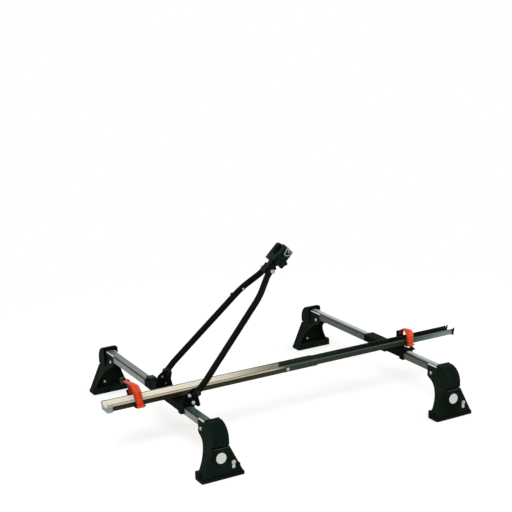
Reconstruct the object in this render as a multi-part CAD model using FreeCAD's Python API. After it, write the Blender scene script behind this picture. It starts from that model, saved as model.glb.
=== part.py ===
import FreeCAD, Part
import math
import os

# A roof-mounted bike carrier: two crossbars on four lockable feet, a long tray across both bars,
# two moulded straps on the tray, and a folding two-legged arm with a clamp for a round tube.
# Millimetres. +X runs along the tray towards its rear end, +Y along the crossbars, +Z up.
# The origin is the middle of the whole carrier at the height of the roof.

V = FreeCAD.Vector
X_AXIS = V(1, 0, 0)
Y_AXIS = V(0, 1, 0)
Z_AXIS = V(0, 0, 1)
ORIGIN = V(0, 0, 0)

os.makedirs("parts", exist_ok=True)

# General fits and stock
RUNNING_FIT = 0.08          # radial gap of a turning pin or a thread
LOOSE_FIT = 0.5             # radial gap of a clearance hole
SIDE_GAP = 0.3              # gap beside a piece that slides or swings
SCREW_R = 3.0               # small dome-head screws
SCREW_HEAD_R = 6.0
SCREW_HEAD_T = 3.2
BOLT_R = 4.0                # hexagon bolts
BOLT_HEAD_R = 7.5
BOLT_HEAD_T = 5.0
NUT_T = 6.0

# Crossbars
BAR_SPACING = 828.0         # between the two bars' centre lines
BAR_REACH = 436.0           # from the middle to each bar end
BAR_WIDTH = 30.0
BAR_HEIGHT = 23.0
BAR_WALL = 1.5
BAR_UNDERSIDE = 130.0
BAR_GROOVE = 3.0            # square step along both top edges
BAR_TOP = BAR_UNDERSIDE + BAR_HEIGHT
BAR_HALF = BAR_WIDTH / 2
FRONT_BAR_X = -BAR_SPACING / 2
REAR_BAR_X = BAR_SPACING / 2
STRIP_LENGTH = 61.0         # bright index strip in each groove beside a foot
STRIP_GAP = 0.2

# Feet. Each place ending in OUT or IN is measured outward from the middle of the bars.
SHEET = 2.5                 # pressed steel of the foot
BAR_END_GAP = 1.5
BODY_OUT = BAR_REACH + BAR_END_GAP + SHEET
FOOT_DEPTH = 23.0           # from the web's outer face in to the base's inner edge
BODY_IN = BODY_OUT - FOOT_DEPTH
BASE_HALF = 65.0            # half width of the foot at the pad
SHOULDER_HALF = 24.5
SHOULDER_Z = 98.0
NECK_Z = 120.0
ARCH_FOOT_Z = 28.0          # where the concave inner edge starts
LIP_REACH = 88.0            # how far in from the web's face it ends, under the bar
LIP_IN = BODY_OUT - LIP_REACH
LIP_Z = 109.0
HEAD_REACH = 99.0           # how far in from the web's face the cheeks reach
HEAD_IN = BODY_OUT - HEAD_REACH
HEAD_BEVEL = 6.0
HEAD_TOP_GAP = 1.0          # from the cheeks' top to the bar's groove
CHEEK_SCREW_INSET = 20.0
CHEEK_SCREW_OUT = HEAD_IN + CHEEK_SCREW_INSET
CHEEK_SCREW_GAP = 0.4       # under the bar
PAD_BEYOND = 21.5           # how far the rubber pad stands out beyond the web's face
PAD_DEPTH = 50.5
PAD_OUT = BODY_OUT + PAD_BEYOND
PAD_IN = PAD_OUT - PAD_DEPTH
PAD_HALF = 69.4
PAD_T = 10.0
PAD_CORNER = 5.0
PAD_RIM = 14.0              # height of the upstand round the foot

# Foot caps
CAP_COVERS = 38.0           # how much of the head a cap covers
CAP_BEYOND = 19.0           # how far it stands out beyond the web's face
CAP_IN = BODY_OUT - CAP_COVERS
CAP_OUT = BODY_OUT + CAP_BEYOND
CAP_HALF = 26.5
CAP_WALL = 2.5
CAP_TOP = 165.0
CAP_CROWN_R = 47.0
CAP_EDGE_R = 4.0
CAP_BOTTOM = 101.0
CAP_LIP = 2.5
CAP_SEAT_HALF = 8.0
CAP_SEAT_LENGTH = 8.0
CAP_SEAT_INSET = 10.0

# Lockable outer covers
COVER_CLEAR = 1.0           # behind the cover, before the web's face
COVER_RECESS = 0.5          # from the pad's outer edge to the cover's lower edge
COVER_SLOPE = 2.5           # how far the cover's face leans in at its top
COVER_IN = BODY_OUT + COVER_CLEAR
COVER_OUT_LOW = PAD_OUT - COVER_RECESS
COVER_OUT_HIGH = COVER_OUT_LOW - COVER_SLOPE
COVER_WALL = 2.5
COVER_ROUND = 2.0
COVER_PROUD = 1.0           # how far the cover stands out beyond the foot's flanks
COVER_GAP = 2.0             # over the pad
COVER_TOP = 96.0
COVER_PIN_INSET = 6.0
COVER_PIN_OUT = COVER_OUT_HIGH - COVER_PIN_INSET
COVER_PIN_Z = 92.5
COVER_PIN_R = 2.0
KNUCKLE_R = 4.5
KNUCKLE_START = 5.0
KNUCKLE_WIDTH = 5.0
LUG_T = 3.0
LUG_GAP = 2.0
LUG_R = 3.0
DISC_R = 16.5               # bare round boss on the cover
DISC_T = 0.8
DISC_X = -4.0
DISC_Z = 66.0
LOCK_X = 34.0
LOCK_Z = 46.0
LOCK_R = 6.5
LOCK_PROUD = 2.0
LOCK_LENGTH = 14.0
LOCK_OUT = COVER_OUT_LOW + LOCK_PROUD
LOCK_IN = LOCK_OUT - LOCK_LENGTH
CAM_REACH = 10.0
CAM_WIDTH = 5.0
CAM_T = 2.0
KEYWAY = 1.6
KEYWAY_REACH = 4.0
KEYWAY_DEPTH = 4.0
KEEPER_T = 2.5
KEEPER_HALF = 4.0
KEEPER_DROP = 6.5

# Roof claw and its tightening bolt, in each foot
CLAW_X = 22.0
CLAW_HALF = 14.0
CLAW_T = 3.0
CLAW_TOP = 53.0
CLAW_GROUND_GAP = 1.5
CLAW_LIP = 10.0
CLAW_TRAVEL = 5.0
CLAW_BOLT_Z = 38.0
CLAW_SLOT_GAP = 2.0         # round the claw where it passes the cover's floor
CLAW_BOLT_REACH = 16.0      # how far the bolt's end is in from the web's face
CLAW_BOLT_TAIL = BODY_OUT - CLAW_BOLT_REACH

# Tray
TRAY_Y = -140.0             # centre line of the tray
TRAY_FRONT = -642.0
TRAY_REAR = 637.5
TRAY_SPLICE_START = -33.0   # front end of the nested rear half
TRAY_SPLICE_END = 88.0      # rear end of the front half
TRAY_FLOOR = 159.2          # underside of the front half
TRAY_DEPTH = 22.8
TRAY_WALL = 1.5
TRAY_LOW_HALF = 21.6        # half width of the channel's lower part
TRAY_RIM_HALF = 24.6        # half width at the bead
TRAY_TOP_HALF = 23.4
TRAY_STEP = 15.3            # height of the bead's underside over the floor
TRAY_STEP_RISE = 1.0
NEST_GAP = 0.1
END_CAP_WALL = 2.5
END_CAP_GRIP = 15.0
END_CAP_SILL = 10.0
REAR_CAP_GRIP = 4.0
REAR_CAP_SILL = 6.0
REAR_HORN_WIDTH = 5.0
REAR_LIP = 4.5              # how far the rear cap's horns lean out
STOP_BUMP_X = -120.0
STOP_BUMP_R = 7.0
STOP_BUMP_T = 2.5

# Brackets that hold the tray on the bars
SADDLE_T = 4.0
SADDLE_SIDE_GAP = 0.2
SADDLE_SKIRT = 20.0         # how far the sides reach down the bar
ARM_SADDLE_HALF = 103.5     # from the tray's middle to each end plate of the front bracket
ARM_SADDLE_FAR = 195.0      # from the tray's middle to the front bracket's far end
REAR_SADDLE_NEAR = 64.0
REAR_SADDLE_FAR = 171.0
SADDLE_HUMP_LENGTH = 30.0   # raised end of the front bracket
SADDLE_HUMP_HALF = 12.0
SADDLE_HUMP_T = 8.0
TRAY_REST_HALF = 21.0
EAR_REACH = 33.0
EAR_LENGTH = 20.0
ARM_EAR_OUT = 84.0
REAR_EAR_OUT = 64.0
EAR_BOLT_X = 25.0
HOOK_REACH = 12.0           # from a saddle's side to its hook's end under the bar
CLAMP_PLATE_T = 4.0
END_PLATE_T = 3.5
TRAY_SCREW_X = 9.0

# Folding arm
PIVOT_BACK = 25.0           # pivot behind the front bar's centre line
PIVOT_Z = 197.0
ARM_ANGLE = 43.7            # rise of the arm, in degrees
ARM_LENGTH = 512.0          # from the pivot to the middle of the clamped tube
LEG_R = 10.0
LEG_WALL = 1.5
BOLT_SEAT_GAP = 0.5         # from a leg's side to the piece or bolt head beside it
LEG_BASE_HALF = ARM_SADDLE_HALF + BOLT_SEAT_GAP + LEG_R
LEG_BASE_RUN = 40.0
LEG_KNEE_BACK = 160.0       # these five are measured back from the tube's middle
LEG_SCREW_BACK = 194.0
LEG_TOP_BACK = 84.0
CLAMP_PIVOT_BACK = 69.0
LEG_END_BACK = 52.0
LEG_KNEE_ALONG = ARM_LENGTH - LEG_KNEE_BACK
LEG_KNEE_HALF = 62.0
LEG_TOP_ALONG = ARM_LENGTH - LEG_TOP_BACK
LEG_TOP_HALF = 20.0
LEG_BENDS = (100.0, 150.0, 55.0)
LEG_TAIL = 12.0
LEG_SCREW_ALONG = ARM_LENGTH - LEG_SCREW_BACK

# Frame clamp, in its own frame: X along the arm, Z along the clamped tube
TUBE_R = 16.0
LINER_T = 3.0
LINER_HALF_ANGLE = 62.0
JAW_HALF = 18.0             # half length of the jaws along the tube
JAW_OUT = 30.0
JAW_MOUTH = 6.0             # from the tube's middle plane to a jaw's inner face
JAW_TIP = 22.0
JAW_WINDOW = 9.0
ROOT_FRONT = -19.5
ROOT_BACK = -39.0
ROOT_NEAR = -12.0
STALK_HALF_Y = 9.5
STALK_HALF_Z = 12.0
STALK_BACK = -84.0
JAW_STOP_GAP = 3.0          # left between jaw and root when fully closed
CHEEK_T = 3.0
CHEEK_HOLD = 6.0            # guided length left when fully open
SCREW_BACK = -29.0
CLAMP_SCREW_TAIL = 27.0
KNOB_R = 15.0
KNOB_LOBE_R = 5.0
KNOB_LOBES = 5
KNOB_T = 14.0
KNOB_COLLAR_T = 4.0
KNOB_COLLAR_R = 9.0
JAW_OPENING = 14.0
JAW_CLOSING = 4.0
JAW_PLATE_IN = JAW_CLOSING + JAW_STOP_GAP - ROOT_NEAR
CHEEK_END = ROOT_NEAR + JAW_OPENING + CHEEK_HOLD

# Straps
FRONT_STRAP_AHEAD = 126.0   # in front of the front bar's centre line
REAR_STRAP_BEHIND = 36.0    # behind the rear bar's centre line
FRONT_STRAP_X = FRONT_BAR_X - FRONT_STRAP_AHEAD
REAR_STRAP_X = REAR_BAR_X + REAR_STRAP_BEHIND
FRONT_STRAP_LEAN = -0.18    # shift along X for each millimetre of height
REAR_STRAP_LEAN = 0.04
STRAP_WIDTH = 28.0
STRAP_T = 4.0
STRAP_SIDE = 29.0           # inner face of the strap from the tray's middle
FRONT_STRAP_TOP = 227.0
REAR_STRAP_TOP = 211.0
STRAP_CROWN_R = 25.0
STRAP_TAIL_HALF = 9.0
STRAP_TAPER_START = -16.0   # across the tray, where the strap starts to narrow to its tail
STRAP_TAPER_END = 4.0
STRAP_TAIL_Z = 184.5
STRAP_TAIL_SIDE = 22.0
STRAP_PIN_R = 2.0
STRAP_EYE_R = 4.2
STRAP_REACH = 90.0          # more than a strap's reach to either side of the tray's middle
TONGUE_START = 9.0          # the front strap's loose end leaves its crown here
TONGUE_START_DROP = 2.0
TONGUE_END = 80.0
TONGUE_END_DROP = 16.0
TONGUE_T = 3.5
GRIP_START = 69.0
GRIP_END = 83.0
GRIP_BOTTOM = 197.0
GRIP_TOP = 222.0
GRIP_HALF = 10.0
GRIP_ROUND = 3.0
BUCKLE_BAND_T = 2.5
BUCKLE_HALF = 12.0
BUCKLE_DEPTH = 9.0
BUCKLE_BOTTOM = 173.0
BUCKLE_TOP = 197.0
BUCKLE_ROUND = 3.0
LEVER_T = 2.5
LEVER_HALF = 8.0
LEVER_LENGTH = 17.0
LEVER_PIN_R = 1.5
LEVER_EYE_R = 2.7

SCREW_SHANK_SPARE = 1.5


def block(x0, x1, y0, y1, z0, z1):
    """A box between two corners, given in any order."""
    low = V(min(x0, x1), min(y0, y1), min(z0, z1))
    return Part.makeBox(abs(x1 - x0), abs(y1 - y0), abs(z1 - z0), low)


def rod(radius, start, end):
    """A cylinder from one point to another."""
    axis = end - start
    return Part.makeCylinder(radius, axis.Length, start, axis)


def rod_x(radius, x0, x1, y, z):
    """A cylinder along X."""
    return rod(radius, V(x0, y, z), V(x1, y, z))


def rod_y(radius, y0, y1, x, z):
    """A cylinder along Y."""
    return rod(radius, V(x, y0, z), V(x, y1, z))


def rod_z(radius, z0, z1, x, y):
    """A cylinder along Z."""
    return rod(radius, V(x, y, z0), V(x, y, z1))


def hexagon(radius, start, end):
    """A six-sided bar from one point to another."""
    axis = end - start
    along = V(axis).normalize()
    side = Y_AXIS if abs(along.dot(Y_AXIS)) < 0.9 else X_AXIS
    across = side.cross(along).normalize()
    up = along.cross(across)
    points = []
    for step in range(7):
        angle = math.radians(60 * step)
        points.append(start + across * (radius * math.cos(angle)) + up * (radius * math.sin(angle)))
    return Part.Face(Part.makePolygon(points)).extrude(axis)


def prism_x(points, x0, x1):
    """An outline of (y, z) points carried along X."""
    ring = [V(x0, y, z) for y, z in points]
    return Part.Face(Part.makePolygon(ring + ring[:1])).extrude(V(x1 - x0, 0, 0))


def prism_y(points, y0, y1):
    """An outline of (x, z) points carried along Y."""
    ring = [V(x, y0, z) for x, z in points]
    return Part.Face(Part.makePolygon(ring + ring[:1])).extrude(V(0, y1 - y0, 0))


def rounded_slab(half_x, y0, y1, z0, z1, radius):
    """A flat slab whose four upright edges are rounded."""
    slab = block(-half_x, half_x, y0, y1, z0, z1)
    uprights = [edge for edge in slab.Edges if abs(edge.Vertexes[0].Z - edge.Vertexes[-1].Z) > 0.5]
    return slab.makeFillet(radius, uprights)


def dome_screw(head, inward, length):
    """A screw whose head seats at a point and whose shank runs inward from it."""
    direction = V(inward).normalize()
    shank = rod(SCREW_R, head, head + direction * length)
    cap = rod(SCREW_HEAD_R, head, head - direction * SCREW_HEAD_T)
    top = head - direction * SCREW_HEAD_T
    rim = [edge for edge in cap.Edges if (edge.CenterOfMass - top).Length < 0.01]
    cap = cap.makeFillet(SCREW_HEAD_T * 0.6, rim)
    return shank.fuse(cap).removeSplitter()


def hex_bolt(head, inward, length):
    """A bolt whose hexagon head seats at a point and whose shank runs inward from it."""
    direction = V(inward).normalize()
    shank = rod(BOLT_R, head, head + direction * length)
    return shank.fuse(hexagon(BOLT_HEAD_R, head, head - direction * BOLT_HEAD_T)).removeSplitter()


def hex_nut(seat, outward):
    """A nut that seats at a point and stands outward from it."""
    direction = V(outward).normalize()
    body = hexagon(BOLT_HEAD_R, seat, seat + direction * NUT_T)
    return body.cut(rod(BOLT_R + RUNNING_FIT, seat - direction, seat + direction * (NUT_T + 1)))


parts = {}


def keep(name, shape):
    """Record a finished piece under its node name."""
    parts[name] = shape


def group(shapes):
    """Several separate solids that share one node."""
    return Part.makeCompound(shapes)


# Crossbars

def bar_outline(wall):
    """The bar's section, drawn in by a wall thickness."""
    half = BAR_HALF - wall
    low = BAR_UNDERSIDE + wall
    step = BAR_TOP - BAR_GROOVE - wall
    top = BAR_TOP - wall
    shoulder = half - BAR_GROOVE
    right = [(half, low), (half, step), (shoulder, step), (shoulder, top)]
    return right + [(-x, z) for x, z in reversed(right)]


def crossbar(bar_x):
    """A square-stepped steel tube."""
    outer = prism_y(bar_outline(0), -BAR_REACH, BAR_REACH)
    inner = prism_y(bar_outline(BAR_WALL), -BAR_REACH, BAR_REACH)
    bar = outer.cut(inner)
    bar.translate(V(bar_x, 0, 0))
    return bar


keep("front_crossbar", crossbar(FRONT_BAR_X))
keep("rear_crossbar", crossbar(REAR_BAR_X))


def index_strip(side):
    """A bright strip that fills the groove beside a foot, seen along the near side."""
    inner = side * (BAR_HALF - BAR_GROOVE)
    outer = side * (BAR_HALF - STRIP_GAP)
    z0 = BAR_TOP - BAR_GROOVE
    return block(inner, outer, -HEAD_IN, -HEAD_IN - STRIP_LENGTH, z0, BAR_TOP - STRIP_GAP)


# Feet. Each piece is drawn on the near side of a bar at X = 0, where outward is -Y.

def half_width(z):
    """Half width of the flared foot at a height."""
    slope = (BASE_HALF - SHOULDER_HALF) / (SHOULDER_Z - PAD_T)
    return SHOULDER_HALF + (SHOULDER_Z - z) * slope


def flare_outline(grow, z_low, z_high):
    """The flared front outline between two heights below the shoulder."""
    low = half_width(z_low) + grow
    high = half_width(z_high) + grow
    return [(-low, z_low), (low, z_low), (high, z_high), (-high, z_high)]


def foot_front_outline(wall, z_low, z_high):
    """The whole front outline of the foot, drawn in by a wall."""
    low = half_width(z_low) - wall
    head = BAR_HALF + SHEET - wall
    right = [(low, z_low), (SHOULDER_HALF - wall, SHOULDER_Z), (head, NECK_Z), (head, z_high)]
    return right + [(-x, z) for x, z in reversed(right)]


HEAD_TOP = BAR_TOP - BAR_GROOVE - HEAD_TOP_GAP
CHEEK_SCREW_Z = BAR_UNDERSIDE - SCREW_R - CHEEK_SCREW_GAP


def foot_side_face():
    """The foot from the side, with its concave inner edge as one arc."""
    run = BODY_IN - LIP_IN
    rise = LIP_Z - ARCH_FOOT_Z
    radius = (run * run + rise * rise) / (2 * run)
    centre_out = BODY_IN - radius
    turn = math.asin(rise / radius) / 2
    middle_out = centre_out + radius * math.cos(turn)
    middle_z = ARCH_FOOT_Z + radius * math.sin(turn)
    x0 = -PAD_HALF

    def at(out, z):
        return V(x0, -out, z)

    arch = Part.Arc(at(BODY_IN, ARCH_FOOT_Z), at(middle_out, middle_z), at(LIP_IN, LIP_Z)).toShape()
    chain = [at(LIP_IN, LIP_Z), at(HEAD_IN, LIP_Z + HEAD_BEVEL), at(HEAD_IN, HEAD_TOP)]
    chain += [at(BODY_OUT, HEAD_TOP), at(BODY_OUT, PAD_T), at(BODY_IN, PAD_T), at(BODY_IN, ARCH_FOOT_Z)]
    return Part.Face(Part.Wire([arch] + Part.makePolygon(chain).Edges))


def foot_solid():
    """The foot's outer form before it is hollowed."""
    side = foot_side_face().extrude(V(2 * PAD_HALF, 0, 0))
    front = prism_y(foot_front_outline(0, PAD_T, HEAD_TOP), -BODY_OUT, -HEAD_IN)
    return side.common(front)


CLAW_FACE = BODY_OUT + SIDE_GAP
LUG_START = KNUCKLE_START + KNUCKLE_WIDTH + LUG_GAP
KEEPER_Z = LOCK_Z + LOCK_R + 1.0


def foot_body():
    """A pressed steel channel, open inboard, with the bar between its two cheeks."""
    hollow_out = -(BAR_REACH + BAR_END_GAP)
    hollow_outline = foot_front_outline(SHEET, PAD_T + SHEET, HEAD_TOP + 1)
    hollow = prism_y(hollow_outline, hollow_out, -HEAD_IN + 1)
    body = foot_solid().cut(hollow)
    for side in (-1, 1):
        start = side * LUG_START
        end = side * (LUG_START + LUG_T)
        lug = block(start, end, -BODY_OUT, -COVER_PIN_OUT, COVER_PIN_Z - LUG_R, COVER_PIN_Z + LUG_R)
        eye = rod_x(LUG_R, start, end, -COVER_PIN_OUT, COVER_PIN_Z)
        body = body.fuse([lug, eye])
    pin_end = LUG_START + LUG_T
    pin = rod_x(COVER_PIN_R, -pin_end, pin_end, -COVER_PIN_OUT, COVER_PIN_Z)
    stem_low = KEEPER_Z + KEEPER_DROP - KEEPER_T
    stem_high = KEEPER_Z + KEEPER_DROP
    keeper_in = LOCK_IN + CAM_T + 1.0
    keeper_out = keeper_in + KEEPER_T
    x0 = LOCK_X - KEEPER_HALF
    x1 = LOCK_X + KEEPER_HALF
    stem = block(x0, x1, -BODY_OUT, -keeper_out, stem_low, stem_high)
    plate = block(x0, x1, -keeper_in, -keeper_out, KEEPER_Z, stem_high)
    body = body.fuse([pin, stem, plate])
    claw_hole = rod_y(BOLT_R + LOOSE_FIT, -BODY_OUT - 1, -BAR_REACH, CLAW_X, CLAW_BOLT_Z)
    reach = BAR_HALF + SHEET + 1
    cheek_hole = rod_x(SCREW_R, -reach, reach, -CHEEK_SCREW_OUT, CHEEK_SCREW_Z)
    return body.cut([claw_hole, cheek_hole]).removeSplitter()


def foot_pad():
    """A moulded rubber pad with an upstand round the foot's base and a slot for the claw."""
    slab = rounded_slab(PAD_HALF, -PAD_OUT, -PAD_IN, 0, PAD_T, PAD_CORNER)
    rim = rounded_slab(PAD_HALF, -BODY_OUT + SHEET, -PAD_IN, PAD_T, PAD_T + PAD_RIM, PAD_CORNER)
    seat = prism_y(flare_outline(0, PAD_T, SHOULDER_Z), -BODY_OUT, -BODY_IN)
    side = CLAW_HALF + LOOSE_FIT * 2
    slot_in = CLAW_FACE - CLAW_LIP - 1
    slot_out = CLAW_FACE + CLAW_T + CLAW_TRAVEL + CLAW_SLOT_GAP
    slot = block(CLAW_X - side, CLAW_X + side, -slot_in, -slot_out, -1, PAD_T + 1)
    return slab.fuse(rim.cut(seat)).cut(slot).removeSplitter()


def cap_face(wall):
    """The cap from the side: a quarter-round crown over a straight outer wall."""
    radius = CAP_CROWN_R - wall
    centre_out = CAP_OUT - CAP_CROWN_R
    centre_z = CAP_TOP - CAP_CROWN_R
    diagonal = radius * math.sqrt(0.5)
    x0 = -CAP_HALF + wall
    inner = CAP_IN - (1 if wall else 0)
    low = CAP_BOTTOM - (1 if wall else 0)

    def at(out, z):
        return V(x0, -out, z)

    crown_start = at(centre_out, centre_z + radius)
    crown_end = at(centre_out + radius, centre_z)
    crown = Part.Arc(crown_start, at(centre_out + diagonal, centre_z + diagonal), crown_end).toShape()
    chain = [crown_end, at(centre_out + radius, low), at(inner, low)]
    chain += [at(inner, centre_z + radius), crown_start]
    return Part.Face(Part.Wire([crown] + Part.makePolygon(chain).Edges))


def foot_cap():
    """A plastic cap over the bar end, open inboard and below."""
    outer = cap_face(0).extrude(V(2 * CAP_HALF, 0, 0))
    shoulder = []
    for edge in outer.Edges:
        middle = edge.CenterOfMass
        on_flank = abs(abs(middle.x) - CAP_HALF) < 0.01
        if on_flank and middle.z > CAP_BOTTOM + 1 and -middle.y > CAP_IN + 1:
            shoulder.append(edge)
    outer = outer.makeFillet(CAP_EDGE_R, shoulder)
    inner = cap_face(CAP_WALL).extrude(V(2 * (CAP_HALF - CAP_WALL), 0, 0))
    seat_in = CAP_IN + CAP_SEAT_INSET
    seat_out = seat_in + CAP_SEAT_LENGTH
    seat = block(-CAP_SEAT_HALF, CAP_SEAT_HALF, -seat_in, -seat_out, BAR_TOP, CAP_TOP - CAP_WALL / 2)
    lip_half = CAP_HALF - CAP_EDGE_R
    lip = block(-lip_half, lip_half, -CAP_IN, -CAP_IN - CAP_WALL, CAP_TOP - CAP_WALL, CAP_TOP + CAP_LIP)
    return outer.cut(inner).fuse([seat, lip]).removeSplitter()


COVER_BOTTOM = PAD_T + COVER_GAP


def cover_out(z):
    """How far out the cover's face stands at a height."""
    share = (z - COVER_BOTTOM) / (COVER_TOP - COVER_BOTTOM)
    return COVER_OUT_LOW + (COVER_OUT_HIGH - COVER_OUT_LOW) * share


def cover_side_outline(wall, z_low, z_high, inner):
    """The cover's wedge from the side."""
    low = cover_out(z_low) - wall
    high = cover_out(z_high) - wall
    return [(-inner, z_low), (-low, z_low), (-high, z_high), (-inner, z_high)]


def foot_cover():
    """A moulded dish over the claw and bolt, hinged at its top edge."""
    wide = PAD_HALF + 5
    beyond = PAD_OUT + 5
    floor = COVER_BOTTOM + COVER_WALL
    outer_side = prism_x(cover_side_outline(0, COVER_BOTTOM, COVER_TOP, COVER_IN), -wide, wide)
    inner_side = prism_x(cover_side_outline(COVER_WALL, floor, COVER_TOP + 1, COVER_IN - 1), -wide, wide)
    outer_front = prism_y(flare_outline(COVER_PROUD, COVER_BOTTOM, COVER_TOP), -beyond, -COVER_IN)
    inner_outline = flare_outline(COVER_PROUD - COVER_WALL, floor, COVER_TOP + 1)
    inner_front = prism_y(inner_outline, -beyond, -COVER_IN + 1)
    outer = outer_side.common(outer_front)
    rim = []
    for edge in outer.Edges:
        if all(-end.Y > cover_out(end.Z) - 0.01 for end in edge.Vertexes):
            rim.append(edge)
    cover = outer.makeFillet(COVER_ROUND, rim).cut(inner_side.common(inner_front))
    for side in (-1, 1):
        start = side * KNUCKLE_START
        end = side * (KNUCKLE_START + KNUCKLE_WIDTH)
        cover = cover.fuse(rod_x(KNUCKLE_R, start, end, -COVER_PIN_OUT, COVER_PIN_Z))
    pin_bore_end = LUG_START
    pin_bore = rod_x(COVER_PIN_R + RUNNING_FIT, -pin_bore_end, pin_bore_end, -COVER_PIN_OUT, COVER_PIN_Z)
    disc_face = cover_out(DISC_Z) + DISC_T
    cover = cover.fuse(rod_y(DISC_R, -disc_face, -disc_face + COVER_WALL, DISC_X, DISC_Z))
    lock_bore = rod_y(LOCK_R + RUNNING_FIT, -beyond, -COVER_IN, LOCK_X, LOCK_Z)
    slot_x0 = CLAW_X - CLAW_HALF - CLAW_SLOT_GAP
    slot_x1 = CLAW_X + CLAW_HALF + CLAW_SLOT_GAP
    slot_out = CLAW_FACE + CLAW_T + CLAW_TRAVEL + CLAW_SLOT_GAP
    slot = block(slot_x0, slot_x1, -COVER_IN + 1, -slot_out, COVER_BOTTOM - 1, floor + 1)
    return cover.cut([pin_bore, lock_bore, slot]).removeSplitter()


def cover_lock():
    """A lock barrel with a slotted face and a cam at its inner end."""
    barrel = rod_y(LOCK_R, -LOCK_OUT, -LOCK_IN, LOCK_X, LOCK_Z)
    half = CAM_WIDTH / 2
    cam = block(LOCK_X, LOCK_X + CAM_REACH, -LOCK_IN, -LOCK_IN - CAM_T, LOCK_Z - half, LOCK_Z + half)
    half = KEYWAY / 2
    low = LOCK_Z - KEYWAY_REACH
    high = LOCK_Z + KEYWAY_REACH
    keyway = block(LOCK_X - half, LOCK_X + half, -LOCK_OUT - 1, -LOCK_OUT + KEYWAY_DEPTH, low, high)
    return barrel.fuse(cam).cut(keyway).removeSplitter()


def clamp_claw():
    """A steel strip behind the cover, turned in at its foot to hook under the roof's edge."""
    x0 = CLAW_X - CLAW_HALF
    x1 = CLAW_X + CLAW_HALF
    plate = block(x0, x1, -CLAW_FACE, -CLAW_FACE - CLAW_T, CLAW_GROUND_GAP, CLAW_TOP)
    lip = block(x0, x1, -CLAW_FACE + CLAW_LIP, -CLAW_FACE, CLAW_GROUND_GAP, CLAW_GROUND_GAP + CLAW_T)
    hole = rod_y(BOLT_R + RUNNING_FIT, -CLAW_FACE - CLAW_T - 1, -CLAW_FACE + 1, CLAW_X, CLAW_BOLT_Z)
    return plate.fuse(lip).cut(hole).removeSplitter()


def claw_bolt():
    """The bolt that draws the claw towards the foot."""
    head_out = CLAW_FACE + CLAW_T
    return hex_bolt(V(CLAW_X, -head_out, CLAW_BOLT_Z), Y_AXIS, head_out - CLAW_BOLT_TAIL)


def claw_nut():
    """The nut that the claw's bolt runs in, on the inner face of the foot's web."""
    return hex_nut(V(CLAW_X, -BAR_REACH - BAR_END_GAP, CLAW_BOLT_Z), Y_AXIS)


def cheek_screws():
    """The cross screws that close the foot's cheeks on the bar, one head on each side."""
    reach = BAR_HALF + SHEET
    first = dome_screw(V(-reach, -CHEEK_SCREW_OUT, CHEEK_SCREW_Z), X_AXIS, reach)
    second = dome_screw(V(reach, -CHEEK_SCREW_OUT, CHEEK_SCREW_Z), -X_AXIS, reach)
    return first.fuse(second).removeSplitter()


def set_foot(shape, bar_x, far):
    """A near-side piece put on its bar, turned half round for the far side."""
    placed = shape.copy()
    if far:
        placed.rotate(ORIGIN, Z_AXIS, 180)
    placed.translate(V(bar_x, 0, 0))
    return placed


FEET = {
    "front_near": (FRONT_BAR_X, False),
    "front_far": (FRONT_BAR_X, True),
    "rear_near": (REAR_BAR_X, False),
    "rear_far": (REAR_BAR_X, True),
}

foot_pieces = {
    "foot_body": foot_body(),
    "foot_pad": foot_pad(),
    "foot_cap": foot_cap(),
    "foot_cover": foot_cover(),
    "cover_lock": cover_lock(),
    "clamp_claw": clamp_claw(),
    "claw_bolt": claw_bolt(),
}
strips = []
dome_screws = []
hex_nuts = []
for corner, (bar_x, far) in FEET.items():
    for piece, shape in foot_pieces.items():
        keep(corner + "_" + piece, set_foot(shape, bar_x, far))
    for side in (-1, 1):
        strips.append(set_foot(index_strip(side), bar_x, far))
    dome_screws.append(set_foot(cheek_screws(), bar_x, far))
    hex_nuts.append(set_foot(claw_nut(), bar_x, far))
keep("bar_index_strips", group(strips))


# Tray. The rear half nests inside the front half between the two splice ends.

NEST = TRAY_WALL + NEST_GAP


def tray_outline(grow, top):
    """Half outline of the tray's outside, grown outward, from the floor up to a height."""
    floor = TRAY_FLOOR - grow
    step = TRAY_FLOOR + TRAY_STEP - grow
    right = [
        (TRAY_LOW_HALF + grow, floor),
        (TRAY_LOW_HALF + grow, step),
        (TRAY_RIM_HALF + grow, step + TRAY_STEP_RISE),
        (TRAY_TOP_HALF + grow, top),
    ]
    return [(TRAY_Y + y, z) for y, z in right] + [(TRAY_Y - y, z) for y, z in reversed(right)]


TRAY_TOP = TRAY_FLOOR + TRAY_DEPTH


def tray_half(x0, x1, inset):
    """A folded sheet channel with a bead under its rim, drawn in to nest."""
    outer = prism_x(tray_outline(-inset, TRAY_TOP - inset), x0, x1)
    inner = prism_x(tray_outline(-inset - TRAY_WALL, TRAY_TOP - inset + 0.01), x0, x1)
    opening_half = TRAY_TOP_HALF - inset - TRAY_WALL
    mouth = block(x0, x1, TRAY_Y - opening_half, TRAY_Y + opening_half, TRAY_TOP - inset - 1, TRAY_TOP + 5)
    return outer.cut([inner, mouth]).removeSplitter()


front_half = tray_half(TRAY_FRONT, TRAY_SPLICE_END, 0)
bump_low = TRAY_FLOOR - STOP_BUMP_T
front_half = front_half.fuse(rod_z(STOP_BUMP_R, bump_low, TRAY_FLOOR + TRAY_WALL / 2, STOP_BUMP_X, TRAY_Y))
rear_half = tray_half(TRAY_SPLICE_START, TRAY_REAR, NEST)


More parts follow.
